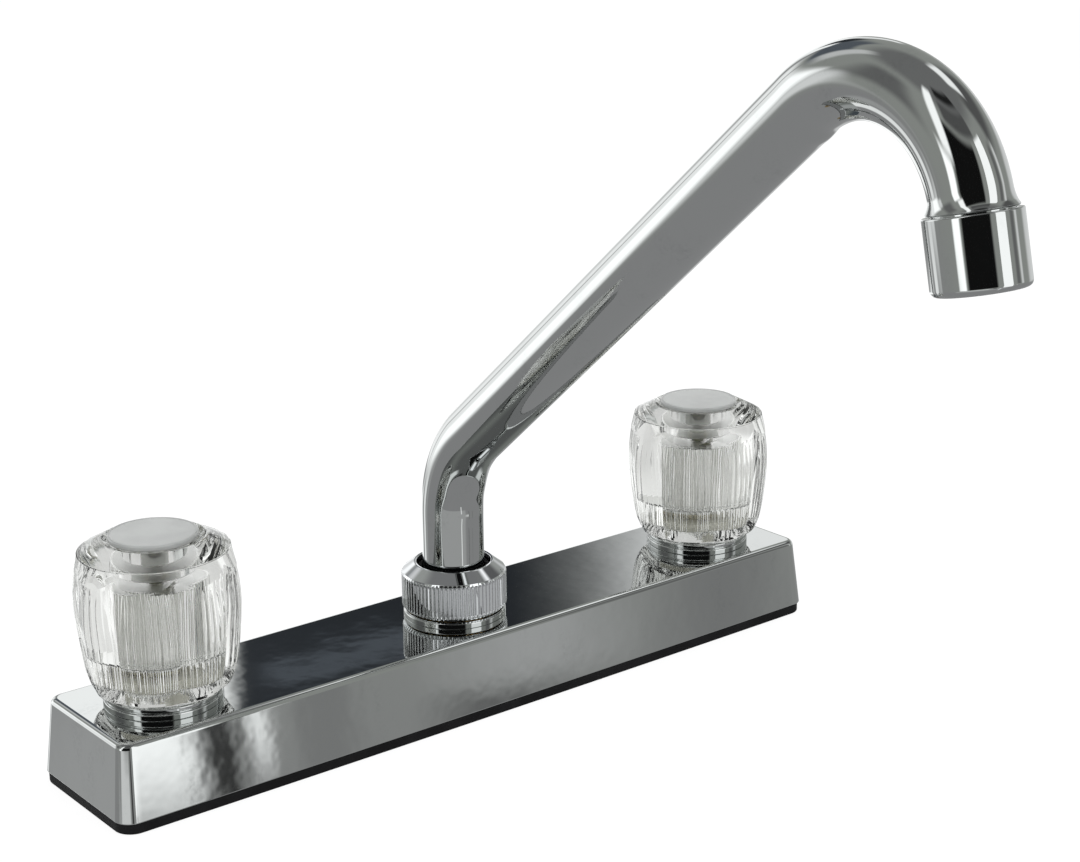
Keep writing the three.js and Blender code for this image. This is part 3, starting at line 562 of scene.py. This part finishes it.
def lobeDrop(angle, turn):
    # share of the lobe's depth at an angle: a crest of flats that grow steeper, then a sharp valley;
    # the place goes from 0 on the crest to 1 in the valley
    place = np.abs(((angle - np.radians(turn)) / tau * knob["lobes"] + 0.5) % 1 - 0.5) * 2
    return np.interp(place, *np.array(knob["flats"]).T)


def clearKnob(axisX, turn):
    # outside: below the shoulder edge the radius is crest(z) - depth(z) * lobeDrop(angle), with narrow
    # upright facets on it, above it a cone; the edge between them lies where the two meet, so it rises
    # in each valley. Inside: round walls with fine ribs. One grid goes round and closes on itself.
    k, sides, rows = knob, 384, 34
    angle = np.arange(sides) / sides * tau
    drop = lobeDrop(angle, turn)[None]
    # how strongly each rib and facet is cut, which drifts slowly round the knob
    uneven = (0.68 + 0.32 * np.sin(5 * angle + 1) * np.sin(11 * angle))[None]
    facet = (1 - (2 * ((angle / tau * k["facets"]) % 1) - 1) ** 2)[None] * uneven  # 0 at a facet's edges
    crestR, crestZ = np.array(k["crest"]).T
    curve = np.polynomial.Polynomial.fit(crestZ, crestR, 5)
    (edgeR, edgeZ), (cornerR, cornerZ) = k["edge"], k["corner"]
    slope = (cornerR - edgeR) / (cornerZ - edgeZ)
    meet = np.minimum(edgeZ - k["topDepth"] * drop / slope, cornerZ - 0.6)
    t = np.linspace(0, 1, rows)[:, None]
    z = crestZ[0] + (meet - crestZ[0]) * t
    ease = np.interp(z, [crestZ[0], k["footEaseTop"], k["topEaseLow"], edgeZ],
                     [k["footDepth"], 1.0, 1.0, k["topDepth"] / k["depth"]])
    r = np.where(z <= edgeZ, curve(np.minimum(z, edgeZ)), curve(edgeZ)) - k["depth"] * ease * drop
    r = r - k["facetDepth"] * facet * np.interp(t, [0, 0.08, 0.85, 1], [0, 1, 1, 0])
    r[-1] = edgeR + slope * (meet[0] - edgeZ)
    zCone = meet + (cornerZ - meet) * np.linspace(0, 1, 6)[1:, None]
    rCone = edgeR + slope * (zCone - edgeZ)
    outsideR = np.concatenate([r[0:1] - k["footIn"], r, rCone])
    outsideZ = np.concatenate([np.full((1, sides), k["base"]), z, zCone])
    # the cavity's wall has rows on both sides of the height where its ribs run out
    well, hole, bore, cavity, runOut = k["well"], k["screwHole"], k["bore"], k["cavity"], k["cavityRibLow"]
    inner = roundedOutline([
        (cornerR - 0.3, cornerZ + 0.22, 0.15), (*k["shoulder"], 0.5),
        (k["capRecess"], k["capSeat"] + 0.35, 0.1), (k["capRecess"] - 0.1, k["capSeat"], 0.1),
        (well, k["capSeat"], 0.2), (well, k["webTop"], 0.3), (hole, k["webTop"], 0.1),
        (hole, k["boreTop"], 0.1), (bore, k["boreTop"], 0.3), (bore, k["cavityTop"], 0.2),
        (cavity, k["cavityTop"], 0.6), (cavity, runOut + 2, 0), (cavity, runOut + 0.4, 0),
        (cavity, runOut - 0.4, 0), (cavity, k["base"], 0.3)], 3)
    innerR, innerZ = inner[:, :1], inner[:, 1:]
    onBore = np.abs(innerR - bore) < 0.02
    onCavity = (np.abs(innerR - cavity) < 0.02) & (innerZ > runOut)
    wave = np.clip(2 * np.cos(k["ribs"] * angle), -1, 1)[None] * 0.5 * uneven
    ribbed = (innerR - np.where(onBore, k["ribDepth"] * wave - k["ribRise"], 0)
              - np.where(onCavity, k["cavityRibDepth"] * (wave + 0.5), 0))
    radius = np.concatenate([outsideR, ribbed])
    height = np.concatenate([outsideZ, np.repeat(innerZ, sides, 1)])
    return np.stack([axisX + radius * np.cos(angle), radius * np.sin(angle), height], -1)


cap = {"radius": 12.5, "low": 73.2, "top": 74.8, "plug": 7.0, "plugWall": 1.2, "plugLow": 68.2,
       "rim": 0.7, "recess": 0.12}
screw = {"radius": 1.9, "head": 3.0, "crown": 1.86, "low": 52.6, "headLow": 63.2, "headSide": 1.3, "headTop": 65.2}
bush = {"radius": 9.2, "bore": 4.3, "low": 38.6, "top": 60.8, "ribs": 48, "ribDepth": 0.4}
# heights and insets of the cover nut's groove, band and step
coverNut = {"bore": 13.1, "radius": 16.8, "low": 25.4, "top": 30.2, "flange": 1.7, "grooveLow": 1.95,
            "grooveTop": 2.25, "grooveIn": 0.5, "bandLow": 2.45, "bandTop": 3.4, "bandIn": 0.15, "stepUp": 3.75,
            "stepIn": 0.75}


def clearCap(name, axis):
    # a disc on a hollow plug, its top sunk a little inside a rim: a profile (r, z) carried round the axis
    c, low, floor = cap, cap["low"], cap["top"] - cap["recess"]
    inside, radius = c["plug"] - c["plugWall"], c["radius"]
    return turnedPiece(name, [
        (0, low), (1.5, low), (inside - 0.4, low), (inside, low, 0.1), (inside, c["plugLow"], 0.1),
        (c["plug"], c["plugLow"], 0.2), (c["plug"], low, 0.1), (radius - 0.25, low, 0.1), (radius, low + 0.3, 0.1),
        (radius, c["top"], 0.5), (radius - c["rim"], c["top"], 0.2), (radius - c["rim"] - 0.2, floor, 0.1),
        (7.5, floor), (4, floor), (1.5, floor), (0, floor)], 96, axis, 3, 30)


def capScrew(name, axis):
    # a shank with a chamfered end and a crowned head: a profile (r, z) carried round the axis
    s, radius, headLow = screw, screw["radius"], screw["headLow"]
    return turnedPiece(name, [
        (0, s["low"]), (radius - 0.5, s["low"], 0.2), (radius, s["low"] + 0.6, 0.1), (radius, headLow, 0),
        (s["head"], headLow, 0.2), (s["head"], headLow + s["headSide"], 0.3), (s["crown"], s["headTop"], 0.5),
        (0, s["headTop"])], 64, axis, 3)


def knobBush(name, axis):
    # a tube whose outer radius is cut by ribDepth times a clipped cosine of ribs times the angle
    b = bush

    def rib(angle, r, z):
        cut = b["ribDepth"] * (np.clip(3 * np.cos(b["ribs"] * angle), -1, 1) - 1) / 2
        return np.where(np.abs(r - b["radius"]) < 0.05, cut, 0)

    return turnedPiece(name, [
        (b["bore"], b["low"], 0.2), (b["radius"], b["low"], 0.02), (b["radius"], b["top"], 0.02),
        (b["bore"], b["top"], 0.2)], 384, axis, 3, 30, rib)


def ringNut(name, axis):
    # a flange, a groove, a band and a step, from low to high: a profile (r, z) carried round the axis
    c, low = coverNut, coverNut["low"]
    radius, groove = c["radius"], c["radius"] - c["grooveIn"]
    band, step = radius - c["bandIn"], radius - c["stepIn"]
    return turnedPiece(name, [
        (c["bore"], low, 0.2), (radius, low, 0.25), (radius, low + c["flange"], 0.3),
        (groove, low + c["grooveLow"], 0.12), (groove, low + c["grooveTop"], 0.12),
        (band, low + c["bandLow"], 0.2), (band, low + c["bandTop"], 0.3), (step, low + c["stepUp"], 0.15),
        (step, c["top"], 0.4), (c["bore"], c["top"], 0.3)], 128, axis, 4, 50)


def knobSet(side):
    body, axis = side + "_handle", (axes[side], 0)
    grid = clearKnob(axes[side], knob["turn"][side])
    shell = skinObject(side + "_clear_knob", grid, wrapRows=True, creaseAngle=3.5)
    finish(shell, clearAcrylic, body, "clear_acrylic", side + "_knob")
    finish(clearCap(side + "_clear_cap", axis), frostedAcrylic, body, "clear_acrylic", side + "_index_cap")
    finish(capScrew(side + "_cap_screw", axis), screwZinc, body, "brass", side + "_handle_screw")
    finish(knobBush(side + "_knob_bush", axis), bushPlastic, body, "cream_plastic", side + "_knob_insert")
    finish(ringNut(side + "_ring_nut", axis), turnedChrome, "deck_assembly", "chrome", side + "_cover_nut")


knobSet("hot")
knobSet("cold")
print("knobs made")


# spout nut, rings and foot
nut = {
    "low": 27.9, "radius": 16.15, "shoulder": 39.6, "shoulderIn": 0.45, "coneTop": 42.5, "mouth": 11.4, "lip": 0.75,
    "thread": 14.3, "threadTop": 39.4, "flutes": 76, "fluteDepth": 0.40, "fluteReach": 14.6, "chamfer": 0.9,
    "fluteUp": 0.3, "fluteDown": 0.55, "lowFade": 0.9, "topFade": 0.5,
}
footRing = {"bore": 14.3, "radius": 15.75, "low": 25.4, "top": 27.4, "chamferOut": 0.55, "chamferDown": 0.4}
wiper = {"bore": 9.8, "flange": 13.7, "low": 38.2, "flangeTop": 39.2, "neck": 11.2, "lip": 11.0, "lipTop": 40.6,
         "tip": 10.3, "top": 41.0}


def spoutNut():
    # a turned profile whose side is cut by fine upright flutes, fluteDepth times a clipped cosine of
    # flutes times the angle, which run out at both of its edges
    n, radius, mouth, thread = nut, nut["radius"], nut["mouth"], nut["thread"]
    profile = roundedOutline([
        (thread, n["low"], 0.2), (radius - n["chamfer"], n["low"], 0.2), (radius, n["low"] + n["chamfer"], 0.25),
        (radius, n["shoulder"] - 0.7, 0.25), (radius - n["shoulderIn"], n["shoulder"], 0.25),
        (mouth + n["lip"], n["coneTop"] - 0.1, 0.4), (mouth, n["coneTop"] - 0.2, 0.2),
        (mouth, n["threadTop"], 0.1), (thread, n["threadTop"], 0.1)], 4)
    sideRows, middle = 22, (n["low"] + n["shoulder"]) / 2
    spot = np.argmax((profile[:, 0] > radius - 1e-3) & (profile[:, 1] > middle))
    heights = np.linspace(n["low"] + 1.4, n["shoulder"] - 1.3, sideRows)
    side = np.stack([np.full(sideRows, radius), heights], -1)
    profile = np.concatenate([profile[:spot], side, profile[spot:]])

    def flute(angle, r, z):
        fade = np.clip((z - n["low"] - n["fluteUp"]) / n["lowFade"], 0, 1)
        fade = fade * np.clip((n["shoulder"] - n["fluteDown"] - z) / n["topFade"], 0, 1)
        groove = np.clip(0.5 - 0.9 * np.cos(n["flutes"] * angle), 0, 1)
        return -n["fluteDepth"] * fade * (r > n["fluteReach"]) * groove

    grid = turnedGrid(profile, n["flutes"] * 10, (0, 0), flute)
    return skinObject("knurled_nut", grid, wrapRows=True, creaseAngle=42)


def spoutFootRing():
    # a ring with a chamfered top: a profile (r, z) carried round the post
    f, radius = footRing, footRing["radius"]
    return turnedPiece("foot_ring", [
        (f["bore"], f["low"], 0.2), (radius, f["low"], 0.2), (radius, f["top"] - f["chamferDown"], 0.35),
        (radius - f["chamferOut"], f["top"], 0.2), (f["bore"], f["top"], 0.2)], 128)


def spoutWiper():
    # a flange inside the nut and a neck that tapers to a tip at the tube: a profile (r, z) turned
    w = wiper
    return turnedPiece("spout_wiper", [
        (w["bore"], w["low"], 0.1), (w["flange"], w["low"], 0.3), (w["flange"], w["flangeTop"], 0.3),
        (w["neck"], w["flangeTop"], 0.1), (w["lip"], w["lipTop"], 0.3), (w["tip"], w["top"], 0.3),
        (w["bore"], w["lipTop"], 0.2)], 96, steps=3)


finish(spoutNut(), nutChromePaintedLight, "deck_assembly", "chrome", "spout_nut")
finish(spoutFootRing(), turnedChrome, "deck_assembly", "chrome", "spout_base_ring")
finish(spoutWiper(), rubber, "deck_assembly", "black_rubber", "spout_seal_ring")
print("spout nut made")


# spout
tube = {
    "radius": 9.5, "wall": 1.2, "low": 22.7, "bendStart": 57.4, "bendRadius": 37.3, "bend": 50.0, "incline": 173.6,
    "archRadius": 31.1, "arch": 117.7, "outlet": 1.4, "nipple": 7.0, "flare": 10.6, "flareRun": 4.0,
    "flareCurve": 2.4, "collar": 0.4, "rim": 0.55, "rimDepth": 0.45,
}
# swells and dents on the inner side of the bends: where each is counted from, how far on, its length,
# height and how closely it keeps to the inner side
ripples = [
    ("bendStart", 1.0, 2.2, 0.16, 3), ("bendStart", 6.0, 2.6, -0.14, 3), ("bendStart", 11.5, 2.8, 0.12, 3),
    ("bendMiddle", 4.0, 5.0, -0.22, 2), ("archStart", -2.0, 2.2, 0.30, 4), ("archStart", 3.0, 3.0, -0.12, 3),
]


def spoutLine():
    # arc length along the tube's middle line, with place (y, z) and heading at each station:
    # straight, bend, straight, arch, straight; dy = -cos(heading), dz = sin(heading)
    t = tube
    lengths = np.array([t["bendStart"] - t["low"], t["bendRadius"] * np.radians(t["bend"]), t["incline"],
                        t["archRadius"] * np.radians(t["arch"]), t["outlet"] + t["nipple"]])
    turns = np.array([0, 1 / t["bendRadius"], 0, 1 / t["archRadius"], 0])
    ends = np.cumsum(lengths)
    # stations lie closer in the bends and closest at the flare
    outlet = ends[3] + t["outlet"]
    along = np.unique(np.round(np.concatenate([
        np.arange(0, ends[0], 2.0), np.arange(ends[0] - 8, ends[1] + 8, 0.7), np.arange(ends[1], ends[2], 4.0),
        np.arange(ends[2] - 8, ends[3] + 1, 0.8), np.arange(ends[3] - 8, outlet, 0.2),
        outlet + np.array([0, 0.08, 0.2, 1, 3, 5, t["nipple"] - 0.3, t["nipple"]])]), 3))
    dense = np.linspace(0, ends[-1], 16001)
    bendNow = turns[np.minimum(np.searchsorted(ends, dense, side="right"), 4)]
    step = dense[1] - dense[0]
    heading = np.pi / 2 - np.concatenate([[0], np.cumsum((bendNow[1:] + bendNow[:-1]) / 2 * step)])
    middle = (heading[1:] + heading[:-1]) / 2
    y = -np.concatenate([[0], np.cumsum(np.cos(middle) * step)])
    z = t["low"] + np.concatenate([[0], np.cumsum(np.sin(middle) * step)])
    return along, ends, *(np.interp(along, dense, v) for v in (y, z, heading))


def spoutTube():
    # a circle carried along the middle line; its radius changes with arc length s and angle a, where
    # a = 0 is the tube's right side and a = a quarter turn its upper, outer side
    t, sides = tube, 96
    along, ends, y, z, heading = spoutLine()
    outlet = ends[3] + t["outlet"]
    s, a = along[:, None], (np.arange(sides) / sides * tau)[None]
    side, up = np.cos(a), np.sin(a)
    starts = {"bendStart": ends[0], "bendMiddle": (ends[0] + ends[1]) / 2, "archStart": ends[2]}
    radius = t["radius"] + 0 * s + 0 * a
    for start, onward, length, height, sharp in ripples:
        swell = np.exp(-((s - starts[start] - onward) / length) ** 2)
        radius = radius + height * swell * np.clip(-up, 0, 1) ** sharp
    flare = np.clip((s - (outlet - t["collar"] - t["flareRun"])) / t["flareRun"], 0, 1)
    grow = (t["flare"] - t["radius"]) * flare ** t["flareCurve"]
    rim = np.sqrt(np.clip(1 - np.clip((s - outlet + t["rim"] - 0.05) / t["rim"], 0, 1) ** 2, 0, 1)) - 1
    radius = np.where(s <= outlet + 1e-3, radius + grow + t["rimDepth"] * rim, t["radius"])
    bore = np.full_like(radius, t["radius"] - t["wall"])
    sine, cosine = np.sin(heading)[:, None], np.cos(heading)[:, None]

    def place(r, rows):
        return np.stack([r * side, y[:, None] + r * up * sine, z[:, None] + r * up * cosine], -1)[rows]

    # up the outside, then back down the bore by every third row to its first
    grid = np.concatenate([place(radius, slice(None)), place(bore, slice(-1, None)),
                           place(bore, slice(None, None, -3))[1:], place(bore, slice(0, 1))])
    return skinObject("bent_tube", grid, wrapRows=True, creaseAngle=32)


finish(spoutTube(), tubeChrome, "spout", "chrome", "spout_tube")

aerator = {"origin": (0, -196.984, 178.995), "axis": (0, -0.21303, -0.97705), "radius": 11.4, "length": 17.9,
           "low": 0.3, "bore": 9.8, "mouth": 10.0, "lip": 8.5, "lipBack": 8.3, "lipDeep": 2.2}


def atOutlet(grid):
    # carries a piece turned about its own upright axis to the spout's mouth: z along the water's way
    x, y, z = grid[..., 0], grid[..., 1], grid[..., 2]
    _, ay, az = aerator["axis"]
    _, oy, oz = aerator["origin"]
    return np.stack([x, oy - y * az + z * ay, oz + y * ay + z * az], -1)


def aeratorCup():
    # a cup with a round foot and a lip turned in: a profile (r, z) turned, then carried to the outlet
    a, low, end = aerator, aerator["low"], aerator["length"]
    return turnedPiece("aerator_cup", [
        (a["bore"], low, 0.2), (a["radius"], low, 0.35), (a["radius"], end, 1.5), (a["mouth"], end, 0.3),
        (a["lip"], end - 0.3, 0.2), (a["lipBack"], end - a["lipDeep"], 0.1), (a["bore"], end - a["lipDeep"], 0.1)],
        128, steps=6, place=atOutlet)


finish(aeratorCup(), turnedChrome, "spout", "chrome", "aerator_shell")
print("spout made")


# finishes of the nodes that stay
def finishNodes(prefix, materials):
    for part, material in materials.items():
        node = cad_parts[prefix + part]
        node.data.materials.clear()
        node.data.materials.append(material)


for side in ("hot", "cold"):
    finishNodes(side + "_", {
        "valve_body": brass[side], "deck_washer": steel[side], "lock_nut": brass[side], "seat_spring": steel[side],
        "valve_seat": rubber, "cartridge_sleeve": cream, "retainer_nut": cream, "stem": stemBrass[side],
        "stem_seal": rubber, "crossover_tube": brass["post"]})
finishNodes("", {
    "spout_post": brass["post"], "spout_sleeve": brass["post"], "spout_lower_seal": rubber,
    "spout_upper_seal": rubber, "aerator_washer": rubber, "aerator_insert": greyPlastic,
    "aerator_screen": steel["post"]})


# floor, surroundings and lamps
def makeSoftCard():
    # a soft-edged patch of the surroundings: 1 inside it, 0 outside, angles in degrees
    group, given, out = newGroup("soft_card", [
        ("Azimuth", "NodeSocketFloat", 0), ("Elevation", "NodeSocketFloat", 0), ("Centre", "NodeSocketFloat", 0),
        ("Half Width", "NodeSocketFloat", 10), ("Low", "NodeSocketFloat", 0), ("High", "NodeSocketFloat", 10),
        ("Soft", "NodeSocketFloat", 2), ("Soft Ends", "NodeSocketFloat", 2)], [("Mask", "NodeSocketFloat")])
    g = given.outputs

    def past(value, limit, soft):
        # 0 well short of the limit, 1 well past it
        beyond = math(group, "SUBTRACT", value, limit)
        return remap(group, math(group, "DIVIDE", beyond, soft), -1.0, 1.0)

    turn = math(group, "WRAP", math(group, "SUBTRACT", g["Azimuth"], g["Centre"]), 180.0, -180.0)
    across = past(g["Half Width"], math(group, "ABSOLUTE", turn), g["Soft"])
    rise = past(g["Elevation"], g["Low"], g["Soft Ends"])
    fall = past(g["High"], g["Elevation"], g["Soft Ends"])
    mask = math(group, "MULTIPLY", across, math(group, "MULTIPLY", rise, fall))
    connect(group, out, {"Mask": mask})
    return group


softCard = makeSoftCard()

# what the chrome looks at round the studio, from the first laid down to the last on top:
# centre azimuth, half width, lowest, highest, softness, softness of the ends, brightness
studioCards = {
    "walls": (0, 200, -12, 200, 20, 10, 0.36),
    "ceiling": (0, 200, 56, 200, 20, 8, 0.20),
    "backdrop": (4, 40.5, -14, 20, 2.5, 4, 1.22),
    "backdropFoot": (22, 23, -25, -15, 6, 2, 1.35),
    "footGap": (22, 16, -16.5, -13, 5, 1, 0.36),
    "leftBand": (-41, 5, -8, 16, 3, 5, 0.95),
    "leftStrip": (-23, 9, -12, 17, 3, 3, 1.65),
    "leftStripFoot": (-18, 6, -44, -14, 2, 3, 1.15),
    "backdropFold": (19, 5, -9, 30, 7, 4, 0.74),
    "foldTop": (19, 3.5, 6, 30, 6, 5, 0.22),
    "backdropSeam": (-1, 1.2, -12, 24, 1.8, 3, 0.36),
    "endGrey": (-32, 4.5, -34, -17, 2.5, 2, 0.45),
    "leftHigh": (-58, 14, 12, 46, 8, 8, 0.17),
    "gapBehind": (13, 22, 25, 46, 7, 2.5, 0.13),
    "leftEndLight": (26.3, 3.6, 17, 27, 1.2, 2, 1.3),
    "rightTopLight": (46.5, 6, 15, 24, 1.5, 2, 1.1),
    "gapDeckLeft": (33.3, 3.75, 16.5, 30, 0.4, 2.5, 0.04),
    "gapDeck": (36.7, 4.0, 16.5, 30, 3.4, 2.5, 0.03),
    "deckBand": (31.4, 1.0, 22.65, 23.3, 0.6, 0.25, 0.11),
    "deckBandMiddle": (32.8, 0.9, 22.35, 23.0, 0.5, 0.25, 0.11),
    "deckBandRight": (34.2, 1.0, 22.05, 22.7, 0.5, 0.25, 0.11),
    "streak": (-9, 8, 28, 57, 4, 6, 0.72),
    "rightFoot": (54, 6, -30, -6, 5, 5, 0.66),
    "rightWall": (78, 20, -12, 11, 7, 5, 0.80),
    "rightHigh": (100, 26, 26, 56, 8, 8, 0.12),
    "rightStrip": (126, 3.5, -6, 30, 2.5, 4, 0.85),
    "rightSlot": (138, 5, 0, 34, 3, 4, 0.18),
    "edgeLight": (88, 16, 47, 62, 5, 3, 1.3),
    "frontGlow": (144.3, 2.2, -12.9, -6, 2.2, 0.6, 0.49),
    "frontShade": (145.5, 1.7, -14.3, -13.2, 1.2, 0.4, 0.17),
    "frontEnd": (138.2, 1.6, -20, -8, 1.4, 2, 0.26),
    "frontLeft": (150.6, 0.8, -20, -8, 0.5, 1, 0.27),
    "keySheet": (166.85, 12.15, -14.9, 45, 0.35, 1.9, 1.5),
    "keyPost": (153.9, 0.42, -22, -4, 0.3, 1, 0.03),
    "keyRib": (152.75, 0.25, -14.1, -4, 0.3, 1.2, 1.35),
    "blackCard": (-136, 32, -5, 42, 3, 4, 0.008),
    "blackCardTop": (-150, 34, 66, 76, 5, 4, 0.02),
    "blackCardBand": (-150, 36, 46, 62, 4, 4, 0.11),
    "sideStrip": (-91.5, 8, -8, 16, 2.2, 5, 1.7),
    "sideStripHigh": (-98, 7, 18, 66, 2.5, 5, 1.5),
    "riserGrey": (-134, 59, -27, -14.0, 5, 0.8, 0.46),
    "riserLine": (-177.5, 1.6, -40, -18.4, 1, 0.8, 1.1),
    "cornerLight": (-122, 28, -16.4, -10.5, 5, 1, 0.85),
    "cornerDark": (-163, 4.5, -16.4, -10.5, 2.5, 1, 0.05),
}
# the walls are a greenish grey, and what the deck's top sees is bluish
neutral, bluish = (0.99, 1.0, 1.0), (0.88, 1.0, 1.17)
cardTints = {"walls": (0.965, 1.0, 0.95), "gapDeck": bluish, "gapDeckLeft": bluish, "deckBand": bluish,
             "deckBandMiddle": bluish, "deckBandRight": bluish, "gapBehind": bluish}
# between the cards, what dull things get, and the veil over what the clear knobs show
studio = {"between": (0.32, 0.32, 0.325, 1), "dullLight": (0.75, 0.75, 0.76, 1), "backdrop": (1, 1, 1, 1),
          "veil": (0.96, 0.965, 0.945, 1), "veilKeeps": 0.44}


def makeSurroundings():
    world = bpy.data.worlds.new("studio")
    bpy.context.scene.world = world
    world.use_nodes = True
    tree = world.node_tree
    tree.nodes.clear()
    x, y, z = splitPlace(tree, tree.nodes.new("ShaderNodeTexCoord").outputs["Generated"])
    azimuth = math(tree, "DEGREES", math(tree, "ARCTAN2", x, y))
    elevation = math(tree, "DEGREES", math(tree, "ARCSINE", z))
    shade = studio["between"]
    labels = ("Azimuth", "Elevation", "Centre", "Half Width", "Low", "High", "Soft", "Soft Ends")
    for name, (*shape, bright) in studioCards.items():
        card = tree.nodes.new("ShaderNodeGroup")
        card.node_tree, card.label = softCard, name
        for label, value in zip(labels, (azimuth, elevation, *shape)):
            feed(tree, card.inputs[label], value)
        tint = [bright * share for share in cardTints.get(name, neutral)]
        shade = mixColour(tree, card.outputs["Mask"], shade, (*tint, 1))
    rays = tree.nodes.new("ShaderNodeLightPath").outputs
    # what is seen through the clear knobs, also in the metal behind them, is paler and softer
    veiled = mixColour(tree, studio["veilKeeps"], studio["veil"], shade)
    sharp = mixColour(tree, math(tree, "GREATER_THAN", rays["Transmission Depth"], 0.5), shade, veiled)
    mirrored = math(tree, "MAXIMUM", rays["Is Glossy Ray"], rays["Is Transmission Ray"])
    shade = mixColour(tree, mirrored, studio["dullLight"], sharp)
    shade = mixColour(tree, rays["Is Camera Ray"], shade, studio["backdrop"])
    background = tree.nodes.new("ShaderNodeBackground")
    connect(tree, background, {"Color": shade})
    connect(tree, tree.nodes.new("ShaderNodeOutputWorld"), {"Surface": background.outputs[0]})


makeSurroundings()

# half its width and its level in mm, its colours, and how brightly it glows where it is in sight
floor = {"half": 6000.0, "level": -0.05, "pale": (0.80, 0.80, 0.80, 1), "shade": (0.78, 0.78, 0.785, 1),
         "faint": (0.2, 0.2, 0.2, 1), "glow": 0.86, "dimmerThroughKnobs": 0.22}


def mixShaders(tree, share, first, second):
    node = tree.nodes.new("ShaderNodeMixShader")
    for index, value in enumerate((share, first, second)):
        tree.links.new(value, node.inputs[index])
    return node.outputs[0]


def makeFloor():
    # a wide pale floor, a hair under the gasket; the chrome looks past it at the studio's own floor
    half, level = floor["half"], floor["level"]
    corners = np.array([[x, y, level] for x, y in ((-half, -half), (half, -half), (half, half), (-half, half))])
    sheet = addMesh("floor", corners, np.array([[0, 1, 2, 3]]), outward=False)
    material = bpy.data.materials.new("pale_floor")
    material.use_nodes = True
    tree = material.node_tree
    tree.nodes.clear()
    rays = tree.nodes.new("ShaderNodeLightPath").outputs
    cloud = noise(tree, objectPlace(tree), 9.0, 3.0)
    matte = tree.nodes.new("ShaderNodeBsdfDiffuse")
    connect(tree, matte, {"Color": mixColour(tree, remap(tree, cloud, 0.3, 0.7), floor["pale"], floor["shade"])})
    # seen straight or through the knobs it glows to white, and keeps a faint share of real shadow
    faint = tree.nodes.new("ShaderNodeBsdfDiffuse")
    faint.inputs["Color"].default_value = floor["faint"]
    glow = tree.nodes.new("ShaderNodeEmission")
    strength = math(tree, "MULTIPLY_ADD", rays["Is Transmission Ray"], -floor["dimmerThroughKnobs"], floor["glow"])
    connect(tree, glow, {"Strength": strength})
    white = tree.nodes.new("ShaderNodeAddShader")
    connect(tree, white, {0: faint.outputs[0], 1: glow.outputs[0]})
    inSight = math(tree, "MAXIMUM", rays["Is Camera Ray"], rays["Is Transmission Ray"])
    seen = mixShaders(tree, inSight, matte.outputs[0], white.outputs[0])
    under = tree.nodes.new("ShaderNodeNewGeometry").outputs["Backfacing"]
    passing = tree.nodes.new("ShaderNodeBsdfTransparent")
    last = mixShaders(tree, math(tree, "MAXIMUM", rays["Is Glossy Ray"], under), seen, passing.outputs[0])
    connect(tree, tree.nodes.new("ShaderNodeOutputMaterial"), {"Surface": last})
    sheet.data.materials.append(material)


makeFloor()

# lamps, placed in metres
lamps = {
    "key": {"place": (-0.9, -0.9, 1.4), "size": 1.0, "power": 9.0},
    "fill": {"place": (1.2, -0.5, 1.0), "size": 1.2, "power": 4.0},
}
lampAim = Vector((0, 0, 0.08))


def placeLamps():
    for name, lamp in lamps.items():
        data = bpy.data.lights.new(name, "AREA")
        data.shape, data.size, data.energy = "DISK", lamp["size"], lamp["power"]
        light = bpy.data.objects.new(name, data)
        bpy.context.scene.collection.objects.link(light)
        light.location = lamp["place"]
        light.rotation_euler = (lampAim - Vector(lamp["place"])).to_track_quat("-Z", "Y").to_euler()
        light.visible_glossy = light.visible_transmission = light.visible_camera = False


placeLamps()
bpy.context.scene.view_settings.view_transform = "Standard"
print("studio made")
